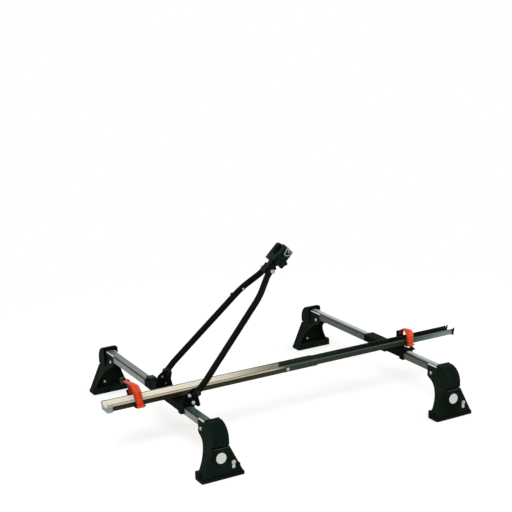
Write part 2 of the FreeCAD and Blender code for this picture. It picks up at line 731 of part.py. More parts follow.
def tray_front_cap():
    """A light collar over the front end, with a low sill across it."""
    x0 = TRAY_FRONT - END_CAP_WALL
    x1 = TRAY_FRONT + END_CAP_GRIP
    collar = prism_x(tray_outline(END_CAP_WALL, TRAY_TOP), x0, x1)
    channel = prism_x(tray_outline(0, TRAY_TOP), TRAY_FRONT, x1 + 1)
    passage_half = TRAY_TOP_HALF - TRAY_WALL
    sill_top = TRAY_FLOOR + END_CAP_SILL
    passage = block(x0 - 1, x1 + 1, TRAY_Y - passage_half, TRAY_Y + passage_half, sill_top, TRAY_TOP + 1)
    return collar.cut([channel, passage]).removeSplitter()


def tray_rear_cap():
    """A dark plug over the rear end: a low sill between two horns that lean outward."""
    inset = NEST
    x0 = TRAY_REAR - REAR_CAP_GRIP
    collar = prism_x(tray_outline(END_CAP_WALL - inset, TRAY_TOP - inset), x0, TRAY_REAR)
    channel = prism_x(tray_outline(-inset, TRAY_TOP - inset), x0 - 1, TRAY_REAR + 1)
    floor = TRAY_FLOOR + inset
    low = floor - END_CAP_WALL
    lip_x = TRAY_REAR + END_CAP_WALL
    tip = lip_x + REAR_LIP
    outline = [(TRAY_REAR, low), (lip_x, low), (tip, TRAY_TOP), (tip - END_CAP_WALL, TRAY_TOP)]
    outline.append((TRAY_REAR, floor + END_CAP_WALL))
    plate = prism_y(outline, TRAY_Y - TRAY_LOW_HALF, TRAY_Y + TRAY_LOW_HALF)
    mouth = TRAY_LOW_HALF - REAR_HORN_WIDTH
    sill_top = floor + REAR_CAP_SILL
    notch = block(TRAY_REAR - 1, tip + 1, TRAY_Y - mouth, TRAY_Y + mouth, sill_top, TRAY_TOP + 1)
    return collar.cut(channel).fuse(plate.cut(notch)).removeSplitter()


keep("tray_front_cap", tray_front_cap())
keep("tray_rear_cap", tray_rear_cap())

SPLICE_SCREW_XS = (TRAY_SPLICE_START + 10, TRAY_SPLICE_END - 20)
SPLICE_SCREW_Z = TRAY_FLOOR + TRAY_STEP / 2 + 1
splice_holes = []
for x in SPLICE_SCREW_XS:
    for side in (-1, 1):
        face = V(x, TRAY_Y + side * TRAY_LOW_HALF, SPLICE_SCREW_Z)
        inward = V(0, -side, 0)
        length = TRAY_WALL + NEST
        dome_screws.append(dome_screw(face, inward, length))
        splice_holes.append(rod(SCREW_R, face - inward, face + inward * (length + 1)))
front_half = front_half.cut(splice_holes)
rear_half = rear_half.cut(splice_holes)


# Brackets between the tray and the bars

SADDLE_INNER = BAR_HALF + SADDLE_SIDE_GAP
SADDLE_OUTER = SADDLE_INNER + SADDLE_T
SADDLE_TOP = BAR_TOP + SADDLE_T
UNDER_PLATE_LOW = BAR_UNDERSIDE - CLAMP_PLATE_T
HOOK_END = HOOK_REACH - SADDLE_OUTER


def saddle(near, far, rest_reach, rest_top, ear_out):
    """An inverted channel over the bar with a rest for the tray. At two places it has a hook that goes
    under the bar on one side and an ear for a bolt on the other."""
    y0 = TRAY_Y - near
    y1 = TRAY_Y + far
    outer = block(-SADDLE_OUTER, SADDLE_OUTER, y0, y1, BAR_TOP - SADDLE_SKIRT, SADDLE_TOP)
    inner = block(-SADDLE_INNER, SADDLE_INNER, y0 - 1, y1 + 1, BAR_TOP - SADDLE_SKIRT - 1, BAR_TOP)
    rest_y0 = TRAY_Y - TRAY_REST_HALF
    rest_y1 = TRAY_Y + TRAY_REST_HALF
    rest = block(-SADDLE_OUTER, rest_reach, rest_y0, rest_y1, SADDLE_TOP, rest_top)
    shelf = block(0, rest_reach, rest_y0, rest_y1, BAR_TOP, SADDLE_TOP)
    shape = outer.cut(inner).fuse([rest, shelf])
    for side in (-1, 1):
        ear_in = TRAY_Y + side * (ear_out - EAR_LENGTH)
        ear_end = TRAY_Y + side * ear_out
        ear = block(0, EAR_REACH, ear_in, ear_end, BAR_TOP, SADDLE_TOP)
        skirt = block(-SADDLE_OUTER, -SADDLE_INNER, ear_in, ear_end, UNDER_PLATE_LOW, BAR_TOP)
        hook = block(-SADDLE_OUTER, HOOK_END, ear_in, ear_end, UNDER_PLATE_LOW, BAR_UNDERSIDE)
        hole_y = (ear_in + ear_end) / 2
        hole = rod_z(BOLT_R + RUNNING_FIT, BAR_TOP - 1, SADDLE_TOP + 1, EAR_BOLT_X, hole_y)
        shape = shape.fuse([ear, skirt, hook]).cut(hole)
    return shape.removeSplitter()


def clamp_plates(bar_x, ear_out):
    """The flat plates under the bar, one between each hook and the ear above it."""
    plates = []
    for side in (-1, 1):
        ear_in = TRAY_Y + side * (ear_out - EAR_LENGTH)
        ear_end = TRAY_Y + side * ear_out
        plate = block(HOOK_END + SIDE_GAP, EAR_REACH, ear_in, ear_end, UNDER_PLATE_LOW, BAR_UNDERSIDE)
        hole_y = (ear_in + ear_end) / 2
        hole = rod_z(BOLT_R + RUNNING_FIT, UNDER_PLATE_LOW - 1, BAR_UNDERSIDE + 1, EAR_BOLT_X, hole_y)
        plate = plate.cut(hole)
        plate.translate(V(bar_x, 0, 0))
        plates.append(plate)
    return plates


def ear_bolts(bar_x, ear_out):
    """The two bolts of a bracket and their nuts."""
    bolts = []
    nuts = []
    length = SADDLE_TOP - UNDER_PLATE_LOW + NUT_T + SCREW_SHANK_SPARE
    for side in (-1, 1):
        x = bar_x + EAR_BOLT_X
        y = TRAY_Y + side * (ear_out - EAR_LENGTH / 2)
        bolts.append(hex_bolt(V(x, y, SADDLE_TOP), -Z_AXIS, length))
        nuts.append(hex_nut(V(x, y, UNDER_PLATE_LOW), -Z_AXIS))
    return bolts, nuts


PIVOT_X = FRONT_BAR_X + PIVOT_BACK


def end_plate(side):
    """The upright plate at one end of the front bracket that carries a leg's pivot."""
    back = PIVOT_BACK
    outline = [
        (-SADDLE_OUTER, BAR_TOP),
        (-SADDLE_OUTER, SADDLE_TOP + 12),
        (back - 34, PIVOT_Z - 4),
        (back - 13, PIVOT_Z + 10),
        (back + 7, PIVOT_Z + 12),
        (back + 14, PIVOT_Z),
        (back + 9, PIVOT_Z - 21),
        (back + 14, BAR_TOP - 3),
        (back + 6, BAR_TOP - 7),
        (back - 2, BAR_TOP),
    ]
    outer = TRAY_Y + side * ARM_SADDLE_HALF
    inner = outer - side * END_PLATE_T
    plate = prism_y(outline, outer, inner)
    pivot_hole = rod(BOLT_R, V(back, inner - side, PIVOT_Z), V(back, outer + side, PIVOT_Z))
    return plate.cut(pivot_hole)


PLATE_SCREWS = ((PIVOT_BACK - 21, PIVOT_Z - 9), (PIVOT_BACK - 10, PIVOT_Z - 34))


def plate_screw_set(side, cutter):
    """The two bright screws of an end plate, or the holes that they fill."""
    outer = TRAY_Y + side * ARM_SADDLE_HALF
    inward = V(0, -side, 0)
    shapes = []
    for x, z in PLATE_SCREWS:
        face = V(x, outer, z)
        if cutter:
            shapes.append(rod(SCREW_R, face - inward, face + inward * (END_PLATE_T + 1)))
        else:
            shapes.append(dome_screw(face, inward, END_PLATE_T + SCREW_SHANK_SPARE))
    return shapes


def saddle_hump():
    """The raised, bevelled end on the front bracket's far side."""
    y1 = TRAY_Y + ARM_SADDLE_FAR
    y0 = y1 - SADDLE_HUMP_LENGTH
    high = SADDLE_TOP + SADDLE_HUMP_T
    outline = [(y0, SADDLE_TOP), (y1, SADDLE_TOP), (y1, high), (y0 + SADDLE_HUMP_T, high)]
    return prism_x(outline, -SADDLE_HUMP_HALF, SADDLE_HUMP_HALF)


arm_saddle = saddle(ARM_SADDLE_HALF, ARM_SADDLE_FAR, EAR_REACH, TRAY_FLOOR, ARM_EAR_OUT)
arm_bracket = arm_saddle.fuse(saddle_hump())
for side in (-1, 1):
    arm_bracket = arm_bracket.fuse(end_plate(side)).cut(plate_screw_set(side, True))
    for screw in plate_screw_set(side, False):
        screw.translate(V(FRONT_BAR_X, 0, 0))
        dome_screws.append(screw)
arm_bracket = arm_bracket.removeSplitter()
arm_bracket.translate(V(FRONT_BAR_X, 0, 0))
rear_rest_top = TRAY_FLOOR + NEST
rear_bracket = saddle(REAR_SADDLE_NEAR, REAR_SADDLE_FAR, SADDLE_OUTER, rear_rest_top, REAR_EAR_OUT)
rear_bracket.translate(V(REAR_BAR_X, 0, 0))

front_bolts, front_nuts = ear_bolts(FRONT_BAR_X, ARM_EAR_OUT)
rear_bolts, rear_nuts = ear_bolts(REAR_BAR_X, REAR_EAR_OUT)
hex_nuts += front_nuts + rear_nuts
under_plates = clamp_plates(FRONT_BAR_X, ARM_EAR_OUT) + clamp_plates(REAR_BAR_X, REAR_EAR_OUT)
keep("bracket_clamp_plates", group(under_plates))
keep("bracket_bolts", group(front_bolts + rear_bolts))


def tray_screws(bar_x, floor):
    """Two screws through the tray's floor into a bracket, and their holes."""
    screws = []
    holes = []
    for side in (-1, 1):
        head = V(bar_x + side * TRAY_SCREW_X, TRAY_Y, floor)
        depth = floor - BAR_TOP - 0.3
        screws.append(dome_screw(head, -Z_AXIS, depth))
        holes.append(rod(SCREW_R, head + Z_AXIS, head - Z_AXIS * (depth + 1)))
    return screws, holes


front_screws, front_holes = tray_screws(FRONT_BAR_X, TRAY_FLOOR + TRAY_WALL)
rear_screws, rear_holes = tray_screws(REAR_BAR_X, TRAY_FLOOR + NEST + TRAY_WALL)
dome_screws += front_screws + rear_screws
keep("arm_bracket", arm_bracket.cut(front_holes))
keep("rear_bracket", rear_bracket.cut(rear_holes))
keep("tray_front_half", front_half.cut(front_holes))
keep("tray_rear_half", rear_half.cut(rear_holes))
keep("dome_screws", group(dome_screws))


# Folding arm, drawn flat along X from the pivot and then raised to its angle

PIVOT = V(PIVOT_X, TRAY_Y, PIVOT_Z)
LEG_END_ALONG = ARM_LENGTH - LEG_END_BACK
CLAMP_PIVOT_ALONG = ARM_LENGTH - CLAMP_PIVOT_BACK


def leg_path(points, bends):
    """Straight runs joined by tangent arcs, one bend radius for each inner point."""
    edges = []
    start = points[0]
    for index, radius in enumerate(bends):
        corner = points[index + 1]
        back = (points[index] - corner).normalize()
        ahead = (points[index + 2] - corner).normalize()
        half_turn = (math.pi - back.getAngle(ahead)) / 2
        trim = radius * math.tan(half_turn)
        enter = corner + back * trim
        leave = corner + ahead * trim
        inward = (back + ahead).normalize()
        middle = corner + inward * (radius / math.cos(half_turn) - radius)
        edges.append(Part.LineSegment(start, enter).toShape())
        edges.append(Part.Arc(enter, middle, leave).toShape())
        start = leave
    edges.append(Part.LineSegment(start, points[-1]).toShape())
    return Part.Wire(edges)


def leg_pipe(path, start, radius):
    """A round bar swept along a leg's path."""
    ring = Part.Wire([Part.makeCircle(radius, start, X_AXIS)])
    return path.makePipeShell([ring], True, False)


def raise_arm(shape):
    """Turn a shape drawn flat at the pivot up to the arm's angle and put it on the pivot."""
    placed = shape.copy()
    placed.rotate(ORIGIN, Y_AXIS, -ARM_ANGLE)
    placed.translate(PIVOT)
    return placed


def leg(side):
    """One bent steel leg, with its pivot holes at both ends."""
    points = [
        V(-LEG_TAIL, side * LEG_BASE_HALF, 0),
        V(LEG_BASE_RUN, side * LEG_BASE_HALF, 0),
        V(LEG_KNEE_ALONG, side * LEG_KNEE_HALF, 0),
        V(LEG_TOP_ALONG, side * LEG_TOP_HALF, 0),
        V(LEG_END_ALONG, side * LEG_TOP_HALF, 0),
    ]
    path = leg_path(points, LEG_BENDS)
    tube = leg_pipe(path, points[0], LEG_R).cut(leg_pipe(path, points[0], LEG_R - LEG_WALL))
    base_y = side * LEG_BASE_HALF
    top_y = side * LEG_TOP_HALF
    reach = LEG_R + 1
    base_hole = rod_y(BOLT_R + RUNNING_FIT, base_y - reach, base_y + reach, 0, 0)
    top_hole = rod_y(BOLT_R, top_y - reach, top_y + reach, CLAMP_PIVOT_ALONG, 0)
    return tube.cut([base_hole, top_hole])


def leg_half_at(along):
    """Distance of a leg from the arm's middle on its long straight run."""
    share = (along - LEG_BASE_RUN) / (LEG_KNEE_ALONG - LEG_BASE_RUN)
    return LEG_BASE_HALF + (LEG_KNEE_HALF - LEG_BASE_HALF) * share


near_leg = leg(-1)
far_leg = leg(1)
screw_y = leg_half_at(LEG_SCREW_ALONG)
screw_length = LEG_WALL + SCREW_SHANK_SPARE
leg_screw = dome_screw(V(LEG_SCREW_ALONG, screw_y, LEG_R), -Z_AXIS, screw_length)
far_leg = far_leg.cut(rod_z(SCREW_R, 0, LEG_R + 1, LEG_SCREW_ALONG, screw_y))
keep("near_leg", raise_arm(near_leg))
keep("far_leg", raise_arm(far_leg))
keep("leg_joint_screw", raise_arm(leg_screw))


def pivot_bolt(side):
    """The bolt a leg turns on, headed outside the leg and nutted inside the end plate."""
    head_y = side * (LEG_BASE_HALF + LEG_R + BOLT_SEAT_GAP)
    inner_y = side * (ARM_SADDLE_HALF - END_PLATE_T)
    length = abs(head_y - inner_y) + NUT_T + SCREW_SHANK_SPARE
    return hex_bolt(V(0, head_y, 0) + PIVOT, V(0, -side, 0), length)


def pivot_nut(side):
    """The nut of a leg's pivot bolt."""
    return hex_nut(V(0, side * (ARM_SADDLE_HALF - END_PLATE_T), 0) + PIVOT, V(0, -side, 0))


keep("leg_pivot_bolts", group([pivot_bolt(-1), pivot_bolt(1)]))
hex_nuts += [pivot_nut(-1), pivot_nut(1)]
keep("hex_nuts", group(hex_nuts))

clamp_bolt_y = LEG_TOP_HALF + LEG_R + BOLT_SEAT_GAP
clamp_bolt_length = 2 * clamp_bolt_y + NUT_T
clamp_bolt = hex_bolt(V(CLAMP_PIVOT_ALONG, -clamp_bolt_y, 0), Y_AXIS, clamp_bolt_length)
lock_nut_seat = V(CLAMP_PIVOT_ALONG, clamp_bolt_y, 0)
clamp_lock_nut = hexagon(BOLT_HEAD_R, lock_nut_seat, lock_nut_seat + Y_AXIS * NUT_T)
keep("clamp_pivot_bolt", raise_arm(clamp_bolt.fuse(clamp_lock_nut).removeSplitter()))


# Frame clamp, drawn about the tube's middle with the arm along X

def raise_clamp(shape):
    """Put a clamp piece on the end of the arm."""
    placed = shape.copy()
    placed.translate(V(ARM_LENGTH, 0, 0))
    return raise_arm(placed)


LINER_R = TUBE_R + LINER_T


def jaw_block(side, start):
    """A jaw with a round seat for its liner."""
    body = block(start, JAW_TIP, side * JAW_MOUTH, side * JAW_OUT, -JAW_HALF, JAW_HALF)
    edges = []
    for edge in body.Edges:
        middle = edge.CenterOfMass
        if abs(abs(middle.y) - JAW_OUT) < 0.01 and abs(middle.x - JAW_TIP) < 0.01:
            edges.append(edge)
    return body.makeFillet(JAW_WINDOW, edges)


def clamp_body():
    """The fixed far jaw, its root and the stalk that hangs between the legs."""
    root = block(ROOT_BACK, ROOT_FRONT, ROOT_NEAR, JAW_OUT, -JAW_HALF, JAW_HALF)
    stalk = block(STALK_BACK, ROOT_BACK, -STALK_HALF_Y, STALK_HALF_Y, -STALK_HALF_Z, STALK_HALF_Z)
    body = root.fuse([stalk, jaw_block(1, ROOT_FRONT)])
    bore = rod(LINER_R, V(0, 0, -JAW_HALF - 1), V(0, 0, JAW_HALF + 1))
    thread = rod(BOLT_R + RUNNING_FIT, V(SCREW_BACK, ROOT_NEAR - 1, 0), V(SCREW_BACK, JAW_OUT + 1, 0))
    back = -CLAMP_PIVOT_BACK
    pivot_hole = rod(BOLT_R + RUNNING_FIT, V(back, -STALK_HALF_Y - 1, 0), V(back, STALK_HALF_Y + 1, 0))
    return body.cut([bore, thread, pivot_hole]).removeSplitter()


def moving_jaw():
    """The near jaw, guided on the root by two cheeks."""
    gap = SIDE_GAP
    plate = block(ROOT_BACK, ROOT_FRONT + 1, -JAW_OUT, -JAW_PLATE_IN, -JAW_HALF, JAW_HALF)
    body = plate.fuse(jaw_block(-1, ROOT_FRONT + 1))
    for side in (-1, 1):
        inner = side * (JAW_HALF + gap)
        outer = side * (JAW_HALF + gap + CHEEK_T)
        cheek = block(ROOT_BACK, ROOT_FRONT, -JAW_OUT, CHEEK_END, inner, outer)
        bridge = block(ROOT_BACK, ROOT_FRONT, -JAW_OUT, -JAW_PLATE_IN, side * JAW_HALF * 0.9, outer)
        body = body.fuse([cheek, bridge])
    bore = rod(LINER_R, V(0, 0, -JAW_HALF - 1), V(0, 0, JAW_HALF + 1))
    hole = rod(BOLT_R + RUNNING_FIT, V(SCREW_BACK, -JAW_OUT - 1, 0), V(SCREW_BACK, -JAW_PLATE_IN + 1, 0))
    return body.cut([bore, hole]).removeSplitter()


def jaw_liner(side):
    """A rubber lining of part of a circle, on one jaw."""
    corners = [(TUBE_R, -JAW_HALF), (LINER_R, -JAW_HALF), (LINER_R, JAW_HALF), (TUBE_R, JAW_HALF)]
    ring = [V(x, 0, z) for x, z in corners]
    section = Part.Face(Part.makePolygon(ring + ring[:1]))
    shell = section.revolve(ORIGIN, Z_AXIS, 2 * LINER_HALF_ANGLE)
    shell.rotate(ORIGIN, Z_AXIS, side * 90 - LINER_HALF_ANGLE)
    return shell


def clamp_screw():
    """The long screw that draws the near jaw towards the root."""
    return rod(BOLT_R, V(SCREW_BACK, -JAW_OUT - KNOB_COLLAR_T, 0), V(SCREW_BACK, CLAMP_SCREW_TAIL, 0))


def clamp_knob():
    """A lobed plastic knob on the screw's near end."""
    face = -JAW_OUT
    grip_in = face - KNOB_COLLAR_T
    grip_out = grip_in - KNOB_T
    knob = rod(KNOB_COLLAR_R, V(SCREW_BACK, face, 0), V(SCREW_BACK, grip_in, 0))
    knob = knob.fuse(rod(KNOB_R, V(SCREW_BACK, grip_in, 0), V(SCREW_BACK, grip_out, 0)))
    for lobe in range(KNOB_LOBES):
        angle = math.radians(360 * lobe / KNOB_LOBES)
        x = SCREW_BACK + KNOB_R * math.cos(angle)
        z = KNOB_R * math.sin(angle)
        knob = knob.fuse(rod(KNOB_LOBE_R, V(x, grip_in, z), V(x, grip_out, z)))
    return knob.cut(rod(BOLT_R, V(SCREW_BACK, face + 1, 0), V(SCREW_BACK, grip_in, 0))).removeSplitter()


keep("clamp_body", raise_clamp(clamp_body()))
keep("moving_jaw", raise_clamp(moving_jaw()))
keep("fixed_jaw_liner", raise_clamp(jaw_liner(1)))
keep("moving_jaw_liner", raise_clamp(jaw_liner(-1)))
keep("clamp_screw", raise_clamp(clamp_screw()))
keep("clamp_knob", raise_clamp(clamp_knob()))


# Straps, drawn across the tray at X = 0

STRAP_PIN_Y = -(STRAP_SIDE + STRAP_T / 2)


def leaning_slice(half, low, lean):
    """A thick slice across the tray whose two faces lean, square to the tray at a given height."""
    z0 = low - BUCKLE_DEPTH
    z1 = FRONT_STRAP_TOP + BUCKLE_DEPTH
    shift0 = (z0 - low) * lean
    shift1 = (z1 - low) * lean
    outline = [(shift0 - half, z0), (shift0 + half, z0), (shift1 + half, z1), (shift1 - half, z1)]
    return prism_y(outline, -STRAP_REACH, STRAP_REACH)


def strap(floor, lean, top, tongue_outline):
    """The red strap: up the near side, over the top and down to a narrow tail in the buckle."""
    pin_z = floor - BUCKLE_BAND_T / 2
    outer_side = -(STRAP_SIDE + STRAP_T)
    inner_side = -STRAP_SIDE
    centre_z = top - STRAP_CROWN_R

    def at(y, z):
        return V(-STRAP_REACH, y, z)

    def arc(radius, centre_y, first, last):
        turns = [math.radians(first), math.radians((first + last) / 2), math.radians(last)]
        ends = [at(centre_y + radius * math.cos(a), centre_z + radius * math.sin(a)) for a in turns]
        return Part.Arc(*ends).toShape()

    def line(first, last):
        return Part.LineSegment(at(*first), at(*last)).toShape()

    near_y = outer_side + STRAP_CROWN_R
    far_outer = STRAP_TAIL_SIDE + STRAP_T
    far_y = far_outer - STRAP_CROWN_R
    small_r = STRAP_CROWN_R - STRAP_T
    pieces = [
        line((outer_side, pin_z), (outer_side, centre_z)),
        arc(STRAP_CROWN_R, near_y, 180, 90),
        line((near_y, top), (far_y, top)),
        arc(STRAP_CROWN_R, far_y, 90, 0),
        line((far_outer, centre_z), (far_outer, STRAP_TAIL_Z)),
        line((far_outer, STRAP_TAIL_Z), (STRAP_TAIL_SIDE, STRAP_TAIL_Z)),
        line((STRAP_TAIL_SIDE, STRAP_TAIL_Z), (STRAP_TAIL_SIDE, centre_z)),
        arc(small_r, far_y, 0, 90),
        line((far_y, centre_z + small_r), (near_y, centre_z + small_r)),
        arc(small_r, near_y, 90, 180),
        line((inner_side, centre_z), (inner_side, pin_z)),
        line((inner_side, pin_z), (outer_side, pin_z)),
    ]
    sheet = Part.Face(Part.Wire(pieces)).extrude(V(2 * STRAP_REACH, 0, 0))
    if tongue_outline:
        sheet = sheet.fuse(prism_x(tongue_outline, -STRAP_REACH, STRAP_REACH))
    half = STRAP_WIDTH / 2
    edge = [(half, -STRAP_REACH), (half, STRAP_TAPER_START)]
    edge += [(STRAP_TAIL_HALF, STRAP_TAPER_END), (STRAP_TAIL_HALF, STRAP_REACH)]
    outline = edge + [(-x, y) for x, y in reversed(edge)]
    rise = top - pin_z
    ring = [V(x - lean * BUCKLE_BAND_T / 2, y, pin_z) for x, y in outline]
    plan = Part.Face(Part.makePolygon(ring + ring[:1])).extrude(V(rise * lean, 0, rise))
    eye = rod_x(STRAP_EYE_R, -half, half, STRAP_PIN_Y, pin_z)
    bore = rod_x(STRAP_PIN_R + RUNNING_FIT, -half - 1, half + 1, STRAP_PIN_Y, pin_z)
    return sheet.common(plan).fuse(eye).cut(bore).removeSplitter()


HOUSING_IN = STRAP_TAIL_SIDE + STRAP_T + SIDE_GAP
HOUSING_OUT = HOUSING_IN + BUCKLE_DEPTH
LEVER_PIN_Y = HOUSING_OUT - LEVER_PIN_R
LEVER_PIN_Z = BUCKLE_BOTTOM + LEVER_EYE_R + 1


def buckle(floor, lean, rim_half):
    """The dark base under the tray, its far post and housing, and the strap's hinge pin."""
    low = floor - BUCKLE_BAND_T
    slice_half = leaning_slice(BUCKLE_HALF, floor, lean)
    near_y = STRAP_PIN_Y
    band_start = near_y + STRAP_EYE_R + SIDE_GAP
    wide = BUCKLE_HALF * 2
    band = block(-BUCKLE_HALF, BUCKLE_HALF, band_start, HOUSING_IN + BUCKLE_BAND_T, low, floor)
    post = block(-wide, wide, rim_half, HOUSING_IN + BUCKLE_BAND_T, low, BUCKLE_BOTTOM + 2)
    housing = block(-wide, wide, HOUSING_IN, HOUSING_OUT, BUCKLE_BOTTOM, BUCKLE_TOP)
    crown = []
    for edge in housing.Edges:
        if edge.CenterOfMass.z > BUCKLE_TOP - 0.01 and edge.Length > wide:
            crown.append(edge)
    housing = housing.makeFillet(BUCKLE_ROUND, crown)
    shape = band.fuse([post.common(slice_half), housing.common(slice_half)])
    eye_half = STRAP_WIDTH / 2 + SIDE_GAP
    arm_out = eye_half + BUCKLE_BAND_T
    pin_z = floor - BUCKLE_BAND_T / 2
    fork_end = band_start + BUCKLE_DEPTH
    for side in (-1, 1):
        arm = block(side * eye_half, side * arm_out, near_y - STRAP_PIN_R, fork_end, low, floor)
        tie = block(side * (BUCKLE_HALF - 1), side * arm_out, band_start, fork_end, low, floor)
        shape = shape.fuse([arm, tie])
    shape = shape.fuse(rod_x(STRAP_PIN_R, -arm_out, arm_out, near_y, pin_z))
    slot_half = LEVER_HALF + SIDE_GAP
    shift = (LEVER_PIN_Z - floor) * lean
    slot_in = LEVER_PIN_Y - LEVER_EYE_R - SIDE_GAP
    slot_top = BUCKLE_TOP - BUCKLE_BAND_T
    slot_x0 = shift - slot_half
    slot_x1 = shift + slot_half
    slot = block(slot_x0, slot_x1, slot_in, HOUSING_OUT + 1, BUCKLE_BOTTOM - 1, slot_top)
    lever_pin = rod_x(LEVER_PIN_R, slot_x0 - 1, slot_x1 + 1, LEVER_PIN_Y, LEVER_PIN_Z)
    return shape.cut(slot).fuse(lever_pin).removeSplitter()


def lever(floor, lean):
    """The release lever that lies in a slot of the buckle's housing."""
    shift = (LEVER_PIN_Z - floor) * lean
    x0 = shift - LEVER_HALF
    x1 = shift + LEVER_HALF
    eye = rod_x(LEVER_EYE_R, x0, x1, LEVER_PIN_Y, LEVER_PIN_Z)
    blade_top = LEVER_PIN_Z + LEVER_LENGTH
    blade = block(x0, x1, LEVER_PIN_Y - LEVER_T, LEVER_PIN_Y, LEVER_PIN_Z, blade_top)
    bore = rod_x(LEVER_PIN_R + RUNNING_FIT, x0 - 1, x1 + 1, LEVER_PIN_Y, LEVER_PIN_Z)
    return eye.fuse(blade).cut(bore).removeSplitter()


tongue_start_z = FRONT_STRAP_TOP - TONGUE_START_DROP
tongue_end_z = FRONT_STRAP_TOP - TONGUE_END_DROP
TONGUE = [
    (TONGUE_START, tongue_start_z),
    (TONGUE_END, tongue_end_z),
    (TONGUE_END, tongue_end_z - TONGUE_T),
    (TONGUE_START, tongue_start_z - TONGUE_T),
]
STRAPS = {
    "front": (FRONT_STRAP_X, FRONT_STRAP_LEAN, FRONT_STRAP_TOP, TONGUE, TRAY_FLOOR, TRAY_RIM_HALF),
    "rear": (REAR_STRAP_X, REAR_STRAP_LEAN, REAR_STRAP_TOP, None, TRAY_FLOOR + NEST, TRAY_RIM_HALF - NEST),
}
straps = {}
for name, (strap_x, lean, top, tongue, floor, rim_half) in STRAPS.items():
    place = V(strap_x, TRAY_Y, 0)
    straps[name] = strap(floor, lean, top, tongue)
    keep(name + "_strap", straps[name].translated(place))
    keep(name + "_buckle", buckle(floor, lean, rim_half).translated(place))
    keep(name + "_buckle_lever", lever(floor, lean).translated(place))


def strap_grip():
    """The black grip on the front strap's loose end, moulded round it."""
    wide = GRIP_HALF * 2
    shape = block(-wide, wide, GRIP_START, GRIP_END, GRIP_BOTTOM, GRIP_TOP)
    long_edges = [edge for edge in shape.Edges if edge.Length > wide * 2 - 0.01]
    shape = shape.makeFillet(GRIP_ROUND, long_edges)
    return shape.common(leaning_slice(GRIP_HALF, TRAY_FLOOR, FRONT_STRAP_LEAN)).cut(straps["front"])


keep("front_strap_grip", strap_grip().translated(V(FRONT_STRAP_X, TRAY_Y, 0)))


for name, shape in parts.items():
    shape.exportStep("parts/" + name + ".step")
    print(name, len(shape.Solids), round(shape.Volume / 1000, 2), "cm3", shape.isValid())
print(len(parts), "pieces")
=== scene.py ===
# %% [markdown]
# # A roof carrier with a tray, a folding arm and two straps
# This script dresses a model that was drawn in a CAD program. It loads the drawn pieces, gives each one
# a material, and replaces the moulded pieces with finer surfaces. Everything is in metres: +X runs along
# the tray to its rear end, +Y along the crossbars, +Z up, and the roof is at height 0. New shapes are
# worked out in millimetres, and MM turns those to metres.

# %% Load the drawn pieces
import bpy
import math
import numpy as np
from mathutils import Matrix, Vector


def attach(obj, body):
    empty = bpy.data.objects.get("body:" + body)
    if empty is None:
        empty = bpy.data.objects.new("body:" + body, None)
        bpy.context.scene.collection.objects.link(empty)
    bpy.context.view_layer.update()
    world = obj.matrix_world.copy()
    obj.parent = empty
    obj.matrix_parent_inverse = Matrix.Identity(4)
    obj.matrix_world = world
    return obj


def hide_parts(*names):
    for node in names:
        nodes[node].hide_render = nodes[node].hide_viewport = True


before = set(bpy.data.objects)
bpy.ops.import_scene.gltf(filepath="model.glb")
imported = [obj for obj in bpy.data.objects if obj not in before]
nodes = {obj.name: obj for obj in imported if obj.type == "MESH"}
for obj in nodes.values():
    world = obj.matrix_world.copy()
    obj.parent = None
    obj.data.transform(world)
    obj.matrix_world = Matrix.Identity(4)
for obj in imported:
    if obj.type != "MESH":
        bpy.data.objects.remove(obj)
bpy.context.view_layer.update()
MM = 0.001
MM_PER_METRE = 1000

# %% [markdown]
# ## The camera
# The photograph was taken from low in front of the near side with a long lens. The place and the angles
# were worked out from the photograph, so the camera is set by numbers: a yaw, a pitch and a small roll.
# A camera that is aimed at a point would be simpler, but it can't roll.

# %% Camera at the photograph's place
CAMERA_PLACE = Vector((-1.7543, -3.2929, 1.4346))
YAW = math.radians(27.5677)
PITCH = math.radians(13.9177)
ROLL = math.radians(-2.6560)
PICTURE = 512
FOCAL_PIXELS = 1172.6278
SENSOR = 36.0

ahead = Vector((math.sin(YAW) * math.cos(PITCH), math.cos(YAW) * math.cos(PITCH), -math.sin(PITCH)))
level = Vector((math.cos(YAW), -math.sin(YAW), 0))
upward = level.cross(ahead)
right = level * math.cos(ROLL) + upward * math.sin(ROLL)
top = upward * math.cos(ROLL) - level * math.sin(ROLL)
camera_data = bpy.data.cameras.new("camera")
camera_data.sensor_width = SENSOR
camera_data.lens = FOCAL_PIXELS / PICTURE * SENSOR
camera_data.clip_start = 0.05
camera_data.clip_end = 60
camera = bpy.data.objects.new("camera", camera_data)
turn = Matrix((right, top, -ahead)).transposed().to_4x4()
camera.matrix_world = Matrix.Translation(CAMERA_PLACE) @ turn
bpy.context.scene.collection.objects.link(camera)
bpy.context.scene.camera = camera
bpy.context.scene.view_settings.view_transform = "Standard"
print("lens", round(camera_data.lens, 2), "mm")

# %% [markdown]
# ## Two helpers for materials
# A material is a small network of nodes that pass numbers and colours on to a shader. One helper turns a
# colour as it is written for the web into the linear light that the renderer adds up. The other adds a
# node with its settings and its links, so that a network reads as a list of nodes.

# %% Colours as linear light
def hex_colour(code):
    """A web colour as linear red, green, blue and 1: each part is divided by 255, and the part above
    0.04045 is raised to 2.4 after the offset of the sRGB curve."""
    parts = np.array([int(code[i:i + 2], 16) for i in (1, 3, 5)]) / 255
    linear = np.where(parts <= 0.04045, parts / 12.92, ((parts + 0.055) / 1.055) ** 2.4)
    return (*linear.tolist(), 1.0)


print("black paint in linear light", [round(part, 4) for part in hex_colour("#101813")])

# %% One node with its settings and links
# A mix node has several pairs of inputs under the same names, and these are the numbers of its colours.
MIX_A, MIX_B = 6, 7
MIX_RESULT = 2


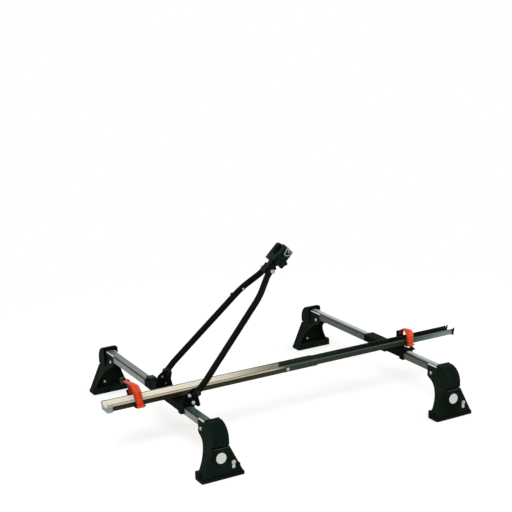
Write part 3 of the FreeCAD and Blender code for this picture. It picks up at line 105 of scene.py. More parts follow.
def add_node(tree, kind, inputs=None, **settings):
    """Adds one node. An input may be given a socket or a whole node, which is linked from its first
    output that is in use, a web colour, or a number."""
    node = tree.nodes.new("ShaderNode" + kind)
    for key, value in settings.items():
        setattr(node, key, value)
    for key, value in (inputs or {}).items():
        if isinstance(value, bpy.types.Node):
            value = next(socket for socket in value.outputs if socket.enabled)
        if isinstance(value, bpy.types.NodeSocket):
            tree.links.new(value, node.inputs[key])
        else:
            node.inputs[key].default_value = hex_colour(value) if isinstance(value, str) else value
    return node


def new_material(name):
    """An empty material with its tree and output node."""
    material = bpy.data.materials.new(name)
    material.use_nodes = True
    material.node_tree.nodes.clear()
    output = add_node(material.node_tree, "OutputMaterial")
    return material, material.node_tree, output


print("a mix node takes its colours at inputs", MIX_A, "and", MIX_B)

# %% [markdown]
# ## One recipe for a worked surface
# Paint, moulded plastic and plated steel differ in colour and gloss, but the same four things make each
# of them believable: a slow drift of colour, a fine grain in the normals, gloss that isn't the same
# everywhere, and edges that are a little round and worn. Each material could have a network of its own,
# but one recipe that takes these as real sizes keeps them at the same scale.

# %% The surface recipe
# Between the first two values of the slow noise one colour turns into the other. An edge starts to be
# worn at the first cosine between its rounded and its flat normal, and is fully worn at the second.
NOISE_LOW, NOISE_HIGH = 0.35, 0.65
WORN_FROM, WORN_FULLY = 0.985, 0.88
GLOSSIER, DULLER = 0.05, 0.07
BEVEL_SAMPLES = 4


def worked_surface(name, colour, drift, worn, rough, metal=0.0, ior=1.5, level=0.5, coat=0.0,
                   drift_mm=60.0, grain_mm=0.6, grain_depth=0.02, edge_mm=0.5, rub=0.25):
    """Base colour moves from colour to drift by a noise of drift_mm, and by rub towards worn where the
    rounded normal leaves the flat one. Grain is a noise of grain_mm that stands grain_depth millimetres
    high."""
    material, tree, output = new_material(name)
    place = add_node(tree, "TexCoord").outputs["Object"]
    slow = add_node(tree, "TexNoise", {"Vector": place, "Scale": MM_PER_METRE / drift_mm, "Detail": 3.0})
    fine = add_node(tree, "TexNoise", {"Vector": place, "Scale": MM_PER_METRE / grain_mm, "Detail": 2.0})
    round_edge = add_node(tree, "Bevel", {"Radius": edge_mm * MM}, samples=BEVEL_SAMPLES)
    flat = add_node(tree, "NewGeometry").outputs["Normal"]
    facing = add_node(tree, "VectorMath", {0: round_edge, 1: flat}, operation="DOT_PRODUCT")
    edge = add_node(tree, "MapRange", {"Value": facing, "From Min": WORN_FROM, "From Max": WORN_FULLY,
                                       "To Min": 0.0, "To Max": rub})
    spots = add_node(tree, "MapRange", {"Value": slow, "From Min": NOISE_LOW, "From Max": NOISE_HIGH})
    tint = add_node(tree, "Mix", {"Factor": spots, MIX_A: colour, MIX_B: drift}, data_type="RGBA")
    base = add_node(tree, "Mix", {"Factor": edge, MIX_A: tint, MIX_B: worn}, data_type="RGBA")
    gloss = add_node(tree, "MapRange", {"Value": slow, "From Min": 0.3, "From Max": 0.7,
                                        "To Min": rough - GLOSSIER, "To Max": rough + DULLER})
    bump = add_node(tree, "Bump", {"Height": fine, "Strength": 0.6, "Distance": grain_depth * MM,
                                   "Normal": round_edge})
    skin = add_node(tree, "BsdfPrincipled", {"Base Color": base, "Metallic": metal, "Roughness": gloss,
                                             "IOR": ior, "Specular IOR Level": level,
                                             "Coat Weight": coat, "Coat Roughness": 0.2,
                                             "Normal": bump})
    tree.links.new(skin.outputs[0], output.inputs[0])
    return material


print("an edge is worn from", round(math.degrees(math.acos(WORN_FROM))), "degrees on")

# %% Colour over colour
def place_and_normal(tree):
    """The shaded point's x, y and z on the object in metres, and its normal's, as output sockets."""
    place = add_node(tree, "TexCoord").outputs["Object"]
    normal = add_node(tree, "NewGeometry").outputs["Normal"]
    return [add_node(tree, "SeparateXYZ", {0: socket}).outputs for socket in (place, normal)]


def paint_over(material, factor, colour):
    """Covers the material's colour with another one, from not at all at a factor of 0 to fully at 1."""
    tree = material.node_tree
    base = tree.nodes["Principled BSDF"].inputs["Base Color"]
    mixed = add_node(tree, "Mix", {"Factor": factor, MIX_A: base.links[0].from_socket, MIX_B: colour},
                     data_type="RGBA")
    tree.links.new(mixed.outputs[MIX_RESULT], base)


FACES_UP = 0.5
print("a face counts as a top face up to", round(math.degrees(math.acos(FACES_UP))), "degrees of slope")

# %% Dressing the drawn pieces
CORNERS = ("front_near", "front_far", "rear_near", "rear_far")


def at_corners(piece):
    """The names of one piece at the four feet."""
    return [corner + "_" + piece for corner in CORNERS]


def dress(material, *names):
    """Puts one material into every slot of the named drawn pieces."""
    for name in names:
        for slot in nodes[name].material_slots:
            slot.material = material
    print(material.name, "on", len(names), "pieces")


print("feet", CORNERS)

# %% [markdown]
# ## Painted steel: feet, legs and brackets
# The feet, the arm's legs and the brackets are pressed or bent steel under a black powder coat. Powder
# melts into a skin with a faint orange peel, whose waves are 1 to 2 mm wide, so light lies on it broad
# and soft and shows little but the edges. One plain black would merge the pieces into a flat shape, so
# each coat has its own depth, gloss and wear.

# %% Black powder coats
# Thick coat on the feet: soft light on the bends, and edges that are rubbed to a grey green.
foot_paint = worked_surface("powder_coat_black_foot", "#0e1710", "#17231a", "#43513f", rough=0.55,
                            level=0.025, grain_mm=1.6, grain_depth=0.03, edge_mm=0.8, rub=0.4)
# The brackets' coat is the deepest black, so that they read as one dark shape under the tray.
bracket_paint = worked_surface("powder_coat_black_bracket", "#060a08", "#0a0f0c", "#29322d", rough=0.55,
                               level=0.02, grain_mm=1.6, grain_depth=0.03, edge_mm=0.7)
# The legs are handled often, which polishes them a little: a thin line of light runs along each tube.
leg_paint = worked_surface("powder_coat_black_leg", "#080a07", "#0d100a", "#2b3228", rough=0.45,
                           level=0.03, grain_mm=1.6, grain_depth=0.02, edge_mm=0.6)
dress(foot_paint, *at_corners("foot_body"))
dress(bracket_paint, "arm_bracket", "rear_bracket", "bracket_clamp_plates")
dress(leg_paint, "near_leg", "far_leg")

# %% Painted sheen on the brackets
# Level faces near the brackets' top get a painted grey-green sheen, a reflection, from 158 mm of height
# on.
SHEEN_FROM, SHEEN_FULL = 0.158, 0.166
tree = bracket_paint.node_tree
place, normal = place_and_normal(tree)
lying = add_node(tree, "MapRange", {"Value": normal["Z"], "From Min": 0.4, "From Max": 1.0})
high = add_node(tree, "MapRange", {"Value": place["Z"], "From Min": SHEEN_FROM, "From Max": SHEEN_FULL})
sheen_mask = add_node(tree, "Math", {0: lying, 1: high}, operation="MULTIPLY")
# The grey green on the level faces is a painted sheen.
paint_over(bracket_paint, sheen_mask, "#3a4a44")
print("painted_sheen from", SHEEN_FROM, "m up")

# %% [markdown]
# ## Painted steel: the crossbars
# The crossbars are rolled steel tubes with a step along each side, under a satin grey-green powder coat
# that is painted lighter on the front bar as light and darker on the rear bar as shade. Their tops carry
# painted light and shade in other colours, and the steps are painted dark as shade. Faces with slots of
# their own could do that, but a drawn mesh isn't changed, so the borders follow from place and normal,
# and they hold from every view.

# %% Crossbar coats
# Places along X and heights are in millimetres, and the two places along Y of the tops' painted light and
# shade in metres.
BAR_X = {"front": -414.0, "rear": 414.0}
STEP_BEHIND = 11.8
STEP_HEIGHT = 149.8
TOP_LIGHT_FROM, TOP_LIGHT_FULL = -0.19, -0.25


def bar_coat(name, colour, drift, worn, rough, bar_x, shade_mm, top_light_colours):
    """The worked surface under two more colours. Above the steps' height it is painted dark as shade from
    11.8 mm behind the bar's middle line, and from shade_mm in front of it. Other top faces carry painted
    light and shade, from the first of a pair of colours at y -0.19 m to the second at y -0.25 m."""
    paint = worked_surface(name, colour, drift, worn, rough, grain_mm=1.6, grain_depth=0.03,
                           edge_mm=0.8, rub=0.4)
    tree = paint.node_tree
    place, normal = place_and_normal(tree)
    off_line = add_node(tree, "Math", {0: place["X"], 1: bar_x * MM}, operation="SUBTRACT")
    in_front = add_node(tree, "Math", {0: off_line, 1: -shade_mm * MM}, operation="LESS_THAN")
    behind = add_node(tree, "Math", {0: off_line, 1: STEP_BEHIND * MM}, operation="GREATER_THAN")
    aside = add_node(tree, "Math", {0: in_front, 1: behind}, operation="ADD")
    high = add_node(tree, "Math", {0: place["Z"], 1: STEP_HEIGHT * MM}, operation="GREATER_THAN")
    dark = add_node(tree, "Math", {0: aside, 1: high}, operation="MULTIPLY")
    faces_up = add_node(tree, "Math", {0: normal["Z"], 1: FACES_UP}, operation="GREATER_THAN")
    near = add_node(tree, "MapRange", {"Value": place["Y"], "From Min": TOP_LIGHT_FROM,
                                       "From Max": TOP_LIGHT_FULL})
    painted_top_light = add_node(tree, "Mix", {"Factor": near, MIX_A: top_light_colours[0], MIX_B: top_light_colours[1]},
                         data_type="RGBA")
    # Top faces get painted light and shade, and the steps get painted shade.
    paint_over(paint, faces_up, painted_top_light)
    paint_over(paint, dark, "#161f19")
    return paint


# The front bar's coat is the grey green painted lighter as light, and its top darkens with painted shade
# towards the near foot.
front_bar_paint_lit = bar_coat("grey_green_coat_painted_lit", "#90978d", "#838b80", "#b6beb8", rough=0.36,
                           bar_x=BAR_X["front"], shade_mm=9.6, top_light_colours=("#626d68", "#2c4038"))
# The rear bar's coat is the same grey green painted darker as shade, smoother, and its top is painted
# light, almost white.
rear_bar_paint_shaded = bar_coat("grey_green_coat_painted_shade", "#4b5a4f", "#3e4c42", "#a9b3ab", rough=0.3,
                          bar_x=BAR_X["rear"], shade_mm=3.6, top_light_colours=("#b4bcb6", "#aab4ae"))
dress(front_bar_paint_lit, "front_crossbar")
dress(rear_bar_paint_shaded, "rear_crossbar")

# %% [markdown]
# ## Plated and bright metal
# Screws and the clamp's bolts are zinc plated, the large bolts and nuts are blackened, the lock barrels
# are chromed, and the strips in the bars' grooves are bright. Metals take their colour from what they
# mirror, so roughness and a slight cloudiness tell them apart more than their own colour does.

# %% Metals
# Zinc plate is a bright grey with clouds a few millimetres wide, and its lights are soft.
zinc = worked_surface("zinc_plated_steel", "#c9ccc9", "#b3b7b6", "#e8e8e4", rough=0.3, metal=1.0,
                      drift_mm=6.0, grain_mm=0.3, grain_depth=0.01, edge_mm=0.4)
# Chrome mirrors its surroundings nearly sharply.
chrome = worked_surface("chromed_lock", "#dfe1dc", "#cfd2cd", "#f2f2ee", rough=0.14, metal=1.0,
                        drift_mm=8.0, grain_mm=0.3, grain_depth=0.004, edge_mm=0.4)
# The rolled strip's brightness is a painted highlight: it is set as a white skin, which stays light from
# any side.
strip_painted_glint = worked_surface("rolled_strip_painted_glint", "#ffffff", "#f2f7f2", "#ffffff", rough=0.3,
                              level=0.6, drift_mm=20.0, grain_mm=0.5, grain_depth=0.01, edge_mm=0.2)
# Black oxide is a thin skin that still shines like metal, first on the claws and then on the bolts.
claw_steel = worked_surface("black_oxide_claw", "#20231f", "#2a2d28", "#6d706a", rough=0.45, metal=0.7,
                            grain_mm=0.8, grain_depth=0.02, edge_mm=0.5)
black_bolt = worked_surface("black_oxide_bolt", "#181b18", "#222622", "#6f746e", rough=0.36, metal=0.8,
                            level=0.3, drift_mm=8.0, grain_mm=0.5, grain_depth=0.01, edge_mm=0.5,
                            rub=0.5)
dress(zinc, "dome_screws", "clamp_pivot_bolt", "clamp_screw", *at_corners("claw_bolt"))
dress(black_bolt, "hex_nuts", "bracket_bolts", "leg_pivot_bolts", "leg_joint_screw")
dress(chrome, *at_corners("cover_lock"))
dress(strip_painted_glint, "bar_index_strips")
dress(claw_steel, *at_corners("clamp_claw"))

# %% Painted screws
# The screws in the tray behind its splice were painted over with it, and all dome screws are one piece,
# so the border is a place: less than 30 mm beside the tray's middle and more than 20 mm behind x 0.
TRAY_MIDDLE = -140.0
BESIDE_TRAY = 30.0
BEHIND_SPLICE = 0.02
tree = zinc.node_tree
place = add_node(tree, "SeparateXYZ", {0: add_node(tree, "TexCoord").outputs["Object"]}).outputs
from_middle = add_node(tree, "Math", {0: place["Y"], 1: TRAY_MIDDLE * MM}, operation="SUBTRACT")
beside = add_node(tree, "Math", {0: from_middle}, operation="ABSOLUTE")
in_tray = add_node(tree, "Math", {0: beside, 1: BESIDE_TRAY * MM}, operation="LESS_THAN")
behind = add_node(tree, "Math", {0: place["X"], 1: BEHIND_SPLICE}, operation="GREATER_THAN")
painted = add_node(tree, "Math", {0: in_tray, 1: behind}, operation="MULTIPLY")
paint_over(zinc, painted, "#3d4a40")
print("painted screws from x", BEHIND_SPLICE, "m on")

# %% [markdown]
# ## Moulded plastic and rubber
# Caps and covers are injection-moulded and carry the fine spark-eroded grain of their mould, so they
# look dark and dry. The clamp is a glass-filled nylon, a little greyer. Pads and liners are rubber. A
# mould's grain is about 0.2 mm wide, too fine to show from here, so it is drawn at about 1 mm. It could
# be cut into the mesh, but as a bump in the normals it needs no faces.

# %% Plastics and rubbers
# ABS with a dry black-green skin: no sharp lights, and only the rounded edges come out paler.
cap_plastic = worked_surface("moulded_cap_plastic", "#0a130e", "#13201a", "#3a4a47", rough=0.55,
                             level=0.02, grain_mm=0.9, grain_depth=0.03, edge_mm=1.0, rub=0.45)
# Nylon with glass fibres: the fibres reach its skin and grey its edges.
clamp_plastic = worked_surface("glass_filled_nylon", "#0b1412", "#121d1a", "#46544f", rough=0.5,
                               level=0.05, grain_mm=1.0, grain_depth=0.03, edge_mm=0.9, rub=0.4)
# Rubber scatters light most widely, so it is the dullest of them.
pad_rubber = worked_surface("moulded_pad_rubber", "#0b120d", "#141c14", "#262f22", rough=0.7,
                            level=0.04, grain_mm=1.2, grain_depth=0.04, edge_mm=0.9)
# The same ABS in grey, where the grain shows as a faint frost.
cap_grey = worked_surface("grey_end_cap_plastic", "#a0a89f", "#939b93", "#c3cac1", rough=0.5,
                          grain_mm=0.9, grain_depth=0.05, edge_mm=0.8)
dress(cap_plastic, *at_corners("foot_cap"), *at_corners("foot_cover"), "tray_rear_cap",
      "front_buckle", "rear_buckle", "front_buckle_lever", "rear_buckle_lever")
dress(clamp_plastic, "clamp_body", "moving_jaw", "clamp_knob")
dress(pad_rubber, *at_corners("foot_pad"), "fixed_jaw_liner", "moving_jaw_liner")
dress(cap_grey, "tray_front_cap")

# %% [markdown]
# ## The tray's colours
# The tray is folded sheet with a bead along each rim. Its front half is pale inside and on the bead and
# dark below it, and the rear half is dark green with a paler rear end. Each half is one drawn piece, so
# one material holds all of its colours. Which side a point is on follows from its normal: inside walls
# face the middle of the tray and the floor's inside faces up.

# %% Tray recipe
# The sheet's streaks run along the tray, so its noise is drawn long in X. The bead starts at a height of
# 174.6 mm, and a wall is an inner one where it faces the middle from more than 8 mm away.
SHEET_DRIFT_MM = 45.0
SHEET_GRAIN_MM = 0.8
SHEET_GRAIN_DEPTH = 0.02
SHEET_EDGE_MM = 0.4
DRAWN_LONG = (0.15, 1.0, 1.0)
BEAD_LOW = 174.6
INNER_WALL = -0.008


def tray_sheet(name, inside, bead, outside, rim, rim_mm, starts, rough):
    """Inside, bead and outside each hold three colours: two mixed by a stretched noise, and a third that
    takes over along X between a pair of starts. The distance from the middle times the normal's y picks
    inner or outer wall, and height picks bead and rim."""
    material, tree, output = new_material(name)
    place, normal = place_and_normal(tree)
    from_middle = add_node(tree, "Math", {0: place["Y"], 1: TRAY_MIDDLE * MM}, operation="SUBTRACT")
    outward = add_node(tree, "Math", {0: from_middle, 1: normal["Y"]}, operation="MULTIPLY")
    inner_wall = add_node(tree, "Math", {0: outward, 1: INNER_WALL}, operation="LESS_THAN")
    faces_up = add_node(tree, "Math", {0: normal["Z"], 1: FACES_UP}, operation="GREATER_THAN")
    is_inside = add_node(tree, "Math", {0: inner_wall, 1: faces_up}, operation="MAXIMUM")
    on_bead = add_node(tree, "Math", {0: place["Z"], 1: BEAD_LOW * MM}, operation="GREATER_THAN")
    on_rim = add_node(tree, "Math", {0: place["Z"], 1: rim_mm * MM}, operation="GREATER_THAN")
    stretched = add_node(tree, "Mapping", {"Vector": add_node(tree, "TexCoord").outputs["Object"],
                                           "Scale": DRAWN_LONG})
    slow = add_node(tree, "TexNoise", {"Vector": stretched, "Scale": MM_PER_METRE / SHEET_DRIFT_MM,
                                       "Detail": 4.0})
    fine = add_node(tree, "TexNoise", {"Vector": stretched, "Scale": MM_PER_METRE / SHEET_GRAIN_MM,
                                       "Detail": 2.0})
    spots = add_node(tree, "MapRange", {"Value": slow, "From Min": NOISE_LOW, "From Max": NOISE_HIGH})
    zones = []
    for (first, second, third), (start, end) in zip((inside, bead, outside), starts):
        along = add_node(tree, "MapRange", {"Value": place["X"], "From Min": start, "From Max": end})
        mottled = add_node(tree, "Mix", {"Factor": spots, MIX_A: first, MIX_B: second},
                           data_type="RGBA")
        zones.append(add_node(tree, "Mix", {"Factor": along, MIX_A: mottled, MIX_B: third},
                              data_type="RGBA"))
    outer = add_node(tree, "Mix", {"Factor": on_bead, MIX_A: zones[2], MIX_B: zones[1]},
                     data_type="RGBA")
    wall = add_node(tree, "Mix", {"Factor": is_inside, MIX_A: outer, MIX_B: zones[0]},
                    data_type="RGBA")
    base = add_node(tree, "Mix", {"Factor": on_rim, MIX_A: wall, MIX_B: rim}, data_type="RGBA")
    round_edge = add_node(tree, "Bevel", {"Radius": SHEET_EDGE_MM * MM}, samples=BEVEL_SAMPLES)
    bump = add_node(tree, "Bump", {"Height": fine, "Strength": 0.5, "Distance": SHEET_GRAIN_DEPTH * MM,
                                   "Normal": round_edge})
    skin = add_node(tree, "BsdfPrincipled", {"Base Color": base, "Metallic": 0.0, "Roughness": rough,
                                             "Specular IOR Level": 0.25, "Normal": bump})
    tree.links.new(skin.outputs[0], output.inputs[0])
    return material


print("sheet streaks are", round(SHEET_DRIFT_MM / DRAWN_LONG[0]), "mm long")

# %% Tray coats
# Pale cream inside and brown-black outside, in a satin finish.
tray_front_coat = tray_sheet("tray_pale_inside_dark_outside", rough=0.42,
                             inside=("#fbf6ea", "#efe8dc", "#a3a493"),
                             bead=("#cfc6ae", "#b9b19a", "#3c4b3c"),
                             outside=("#231a09", "#2e2514", "#27332a"), rim="#4b463a", rim_mm=180.7,
                             starts=((-0.22, -0.06), (-0.075, -0.03), (-0.14, -0.04)))
# Dark green satin, paler towards the rear end.
tray_rear_coat = tray_sheet("tray_dark_green_sheet", rough=0.36,
                            inside=("#213226", "#283a2f", "#141c16"),
                            bead=("#44544a", "#36463c", "#7c8c82"),
                            outside=("#262d20", "#333b2d", "#7f9086"), rim="#10160f", rim_mm=179.3,
                            starts=((0.1, 0.3), (0.44, 0.60), (0.44, 0.60)))
dress(tray_front_coat, "tray_front_half")
dress(tray_rear_coat, "tray_rear_half")

# %% [markdown]
# ## From numbers to a mesh
# Every new piece is a stack of closed rings: a profile carried along a path or grown outward step by
# step. The rings are one array of points, and the faces between them are worked out for all at once.
# The sum of the tetrahedra under the faces tells if they point outward, and if not they are flipped.

# %% Ring stacks
def circle(count):
    """The angles of so many equal steps round a circle."""
    return np.linspace(0, 2 * math.pi, count + 1)[:-1]


def solid_from_rings(name, rings, material, body, closed=False, sharp=35.0, marks=None):
    """Point (i, j) joins its neighbours (i, j+1), (i+1, j+1) and (i+1, j), and the two end rings are
    closed by one flat face each, or joined to each other. Rings are in millimetres. A mark is a number
    for each point that the material reads by name."""
    rings = np.asarray(rings, float) * MM
    count, ring = rings.shape[:2]
    i, j = np.meshgrid(np.arange(count if closed else count - 1), np.arange(ring), indexing="ij")
    near = i * ring
    far = (i + 1) % count * ring
    ahead_j = (j + 1) % ring
    quads = np.stack([near + j, near + ahead_j, far + ahead_j, far + j], -1).reshape(-1, 4)
    points = rings.reshape(-1, 3)
    a, b, c, d = (points[quads[:, k]] for k in range(4))
    volume = (np.cross(b - a, c - a) * a).sum() + (np.cross(c - a, d - a) * a).sum()
    faces = quads.tolist()
    if not closed:
        faces += [np.arange(ring)[::-1].tolist(), (np.arange(ring) + (count - 1) * ring).tolist()]
        caps = ((rings[0, ::-1], rings[0, 0]), (rings[-1], rings[-1, 0]))
        volume += sum((np.cross(p[1:-1] - q, p[2:] - q) * q).sum() for p, q in caps)
    if volume < 0:
        faces = [face[::-1] for face in faces]
    mesh = bpy.data.meshes.new(name)
    mesh.from_pydata(points.tolist(), [], faces)
    mesh.shade_smooth()
    mesh.set_sharp_from_angle(angle=math.radians(sharp))
    mesh.materials.append(material)
    for key, value in (marks or {}).items():
        mark = mesh.attributes.new(key, "FLOAT", "POINT")
        mark.data.foreach_set("value", np.ascontiguousarray(value, dtype=np.float32).ravel())
    piece = bpy.data.objects.new(name, mesh)
    bpy.context.scene.collection.objects.link(piece)
    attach(piece, body)
    print(name, len(points), "points")
    return piece


print("a ring of 32 points turns", round(math.degrees(circle(32)[1]), 2), "degrees at each")

# %% [markdown]
# ## The straps
# Each strap is one moulding of tough orange-red polyurethane. It is hinged low on the tray's near side,
# goes up and over, and narrows to a tail that lies in the buckle on the far side. Its section is a flat
# band with a raised rib along the middle, and the rib has notches for the buckle's tooth. It could be cut
# from a bent sheet, but a section carried along the path gives rib and notches in one step.

# %% Strap materials
# Polyurethane has a thin glossy skin over its own strong colour. Two marks on the mesh put painted
# shade on its flanges and in the bottoms of its notches.
strap_red = worked_surface("moulded_strap_polyurethane", "#f4500f", "#e23d06", "#ff7a48", rough=0.3,
                           level=0.25, coat=0.08, drift_mm=18.0, grain_mm=0.7, grain_depth=0.02,
                           edge_mm=0.9, rub=0.45)
for mark, shade_colour in (("flange", "#8e1b07"), ("notch", "#b52c08")):
    painted_shade = add_node(strap_red.node_tree, "Attribute", attribute_name=mark).outputs["Fac"]
    paint_over(strap_red, painted_shade, shade_colour)
# The grip is a brown-black rubber-like moulding, a little glossy from being handled.
strap_black = worked_surface("moulded_strap_fitting", "#140a09", "#1d100d", "#5a3028", rough=0.4,
                             level=0.25, drift_mm=12.0, grain_mm=0.8, grain_depth=0.03, edge_mm=0.8,
                             rub=0.4)
print("strap materials", strap_red.name, strap_black.name)

# %% The strap's path
STRAP_SIDE = 29.0
STRAP_T = 4.0
CROWN_R = 25.0
TAIL_SIDE = 22.0
TAIL_Z = 184.5
UP, ROUND, OVER, DOWN = 50, 16, 7, 8


def length_along(line):
    """The length from a line's first point to each of its points."""
    return np.concatenate([[0.0], np.cumsum(np.linalg.norm(np.diff(line, axis=0), axis=1))])


def strap_path(pin_z, top):
    """The strap's inner line from the pin up, over and down: a straight, a quarter turn of 21 mm, a
    straight, a quarter turn and a straight. Returns points (y, z), outward normals and lengths."""
    r = CROWN_R - STRAP_T
    z = top - CROWN_R
    near_y = -STRAP_SIDE + r
    far_y = TAIL_SIDE - r
    quarter = np.linspace(0, math.pi / 2, ROUND + 2)[1:-1]
    y = np.concatenate([np.full(UP, -STRAP_SIDE), near_y - r * np.cos(quarter),
                        np.linspace(near_y, far_y, OVER), far_y + r * np.sin(quarter),
                        np.full(DOWN, TAIL_SIDE)])
    height = np.concatenate([np.linspace(pin_z, z, UP), z + r * np.sin(quarter), np.full(OVER, z + r),
                             z + r * np.cos(quarter), np.linspace(z, TAIL_Z, DOWN)])
    turn = np.concatenate([np.zeros(UP), quarter, np.full(OVER, math.pi / 2), math.pi / 2 + quarter,
                           np.full(DOWN, math.pi)])
    line = np.stack([y, height], -1)
    normal = np.stack([-np.cos(turn), np.sin(turn)], -1)
    return line, normal, length_along(line)


print("a strap's path has", UP + ROUND + OVER + ROUND + DOWN, "points")

# %% The strap's section
ACROSS = np.array([-1.0, -0.98, -0.9, -0.72, -0.66, -0.45, -0.2,
                   0.0, 0.2, 0.45, 0.66, 0.72, 0.9, 0.98, 1.0])
BAND_HIGH = np.array([0.9, 1.5, 1.8, 1.9, 2.2, 2.6, 2.6, 2.6, 2.6, 2.6, 2.2, 1.9, 1.8, 1.5, 0.9])
RIB_SHARE = np.array([0.0, 0.0, 0.0, 0.0, 0.35, 0.8, 0.96, 1.0, 0.96, 0.8, 0.35, 0.0, 0.0, 0.0, 0.0])
UNDERSIDE = np.array([0.35] + [0.0] * 11 + [0.35])
BAND_MIDDLE = 1.3
NOTCH_STEP = 9.0
NOTCH_DEPTH = 0.6
END_ROUND = 1.4


def band_rings(line, normal, run, half, rib, shift):
    """A flat band with a raised rib, carried along a line of (y, z). The section's height over the line
    rises from a thin flange to a shoulder and then to the rib, and every 9 mm a narrow notch crosses it,
    shaped as (0.5 + 0.5 cos) to the power 8. Near its two ends the band thins by the root of the length
    that is left over 1.4 mm. Returns the rings and two marks of painted shade: one grows from the rib out
    to the band's edges, more on one side, and is strong underneath, and the other follows the notches."""
    notch = (0.5 + 0.5 * np.cos(2 * math.pi * run / NOTCH_STEP)) ** 8
    top = BAND_HIGH[None, :] + RIB_SHARE[None, :] * (rib * (1 - NOTCH_DEPTH * notch))[:, None]
    fade = np.sqrt(np.clip(np.minimum(run, run[-1] - run) / END_ROUND, 0, 1))[:, None]
    u = np.concatenate([ACROSS, ACROSS[::-1][1:-1]])
    h = np.concatenate([top, np.broadcast_to(UNDERSIDE, (len(run), len(UNDERSIDE)))], 1)
    h = BAND_MIDDLE + (h - BAND_MIDDLE) * (0.35 + 0.65 * fade)
    wide = half[:, None] * (0.93 + 0.07 * fade)
    points = line[:, None, :] + normal[:, None, :] * h[:, :, None]
    rings = np.stack([shift[:, None] + wide * u, TRAY_MIDDLE + points[..., 0], points[..., 1]], -1)
    # Painted shade on the flanges, stronger on one side and underneath.
    edge_shade = np.clip((np.abs(u) - 0.3) / 0.7, 0, 1) ** 1.5 * np.where(u < 0, 1.0, 0.6)
    flange = np.where(np.arange(len(u)) >= len(ACROSS), 0.9, edge_shade) * np.ones((len(run), 1))
    # Painted shade in the bottoms of the notches.
    notch_shade = np.concatenate([RIB_SHARE, np.zeros(len(UNDERSIDE))])[None, :] * notch[:, None]
    return rings, {"flange": flange, "notch": NOTCH_DEPTH * notch_shade}


print("the section has", len(ACROSS) + len(UNDERSIDE), "points")

# %% The straps' sizes
# For each strap: its place along X, its lean in millimetres per millimetre of height, the height of the
# floor beside its pin, its top, its largest half width and its rib's height.
STRAPS = {"front": (-540.0, -0.18, 159.2, 227.0, 13.6, 3.4),
          "rear": (450.0, 0.04, 160.8, 211.0, 14.8, 1.4)}
PIN_LOW = 1.25
FOOT_HALF = 11.6
TAIL_HALF = 9.0


def smooth_step(value, start, end):
    """0 before start, 1 after end, and 3 t^2 - 2 t^3 between them."""
    t = np.clip((value - start) / (end - start), 0, 1)
    return t * t * (3 - 2 * t)


def eye_rings(strap_x, pin_z):
    """A tube round the hinge pin: each corner of its wall's section is turned a full circle. It is 24 mm
    long, with a radius of 4.2 mm outside, 3.6 mm at its rims and 2.1 mm inside."""
    around = circle(32)
    x = np.array([-12.0, -11.4, 11.4, 12.0, 12.0, -12.0])[:, None]
    radius = np.array([3.6, 4.2, 4.2, 3.6, 2.1, 2.1])[:, None]
    y = TRAY_MIDDLE - STRAP_SIDE - STRAP_T / 2 + radius * np.cos(around)
    return np.stack([np.broadcast_to(strap_x + x, y.shape), y, pin_z + radius * np.sin(around)], -1)


for end, (_, _, foot_z, top_z, widest, _) in STRAPS.items():
    print(end, "strap stands", round(top_z - foot_z, 1), "mm high and is", 2 * widest, "mm wide")

# %% [markdown]
# ## The straps' bands and eyes
# The real band is narrow at its hinge, widens over the rim and narrows again into the buckle, and its rib
# fades in and out. So half width and rib are arrays along the path. The hinge eye is a short tube of its
# own: a hole in the band's end would need a cut, and a tube can be wrapped round the pin.

# %% Strap bands and hinge eyes
for end, (strap_x, lean, foot_z, top_z, widest, rib_high) in STRAPS.items():
    line, normal, run = strap_path(foot_z - PIN_LOW, top_z)
    rising = line[:, 0] < -STRAP_SIDE + 0.01
    rise = np.clip((line[:, 1] - foot_z) / (top_z - CROWN_R - foot_z), 0, 1)
    half = np.where(rising, FOOT_HALF + (widest - FOOT_HALF) * smooth_step(rise, 0.2, 0.8), widest)
    half = half - (widest - TAIL_HALF) * smooth_step(line[:, 0], -22.0, 6.0)
    rib = rib_high * (1 - 0.5 * smooth_step(line[:, 0], -4.0, 18.0)) * smooth_step(run, 2.0, 12.0)
    shift = strap_x + (line[:, 1] - foot_z) * lean
    rings, marks = band_rings(line, normal, run, half, rib, shift)
    strap = solid_from_rings(end + "_strap_band", rings, strap_red, end + "_strap",
                             sharp=50, marks=marks)
    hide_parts(end + "_strap")
    solid_from_rings(end + "_strap_eye", eye_rings(strap_x, foot_z - PIN_LOW), strap_red,
                     end + "_strap", closed=True)

# %% [markdown]
# ## The front strap's loose end
# The front strap is longer than its way over the tray, so its narrow end stands out on the far side and
# carries a black grip. The end is the same ribbed band on a slightly arched line. The grip is a stack of
# rounded rectangles that swell and sink four times along its length, which leaves ridges for the
# fingers. Both could be bent boxes, but a band that curves a little looks held by its own stiffness.

# %% Loose end
strap_x, lean, foot_z, top_z = STRAPS["front"][:4]
share = np.linspace(0, 1, 60)
tongue_line = np.stack([6.0 + 75.0 * share,
                        top_z - 5.6 - 13.8 * share + 1.4 * np.sin(math.pi * share)], -1)
slope = np.gradient(tongue_line, axis=0)
slope /= np.linalg.norm(slope, axis=1)[:, None]
tongue_normal = np.stack([-slope[:, 1], slope[:, 0]], -1)
tongue_shift = strap_x + (tongue_line[:, 1] - foot_z) * lean
rings, marks = band_rings(tongue_line, tongue_normal, length_along(tongue_line),
                          TAIL_HALF - 1.2 * share, np.full(len(share), 1.8), tongue_shift)
solid_from_rings("front_strap_loose_end", rings, strap_red, "front_strap", sharp=50,
                 marks=marks)

# %% Grip
GRIP_Y = 70.0
GRIP_LONG = 12.0
GRIP_Z = 212.0


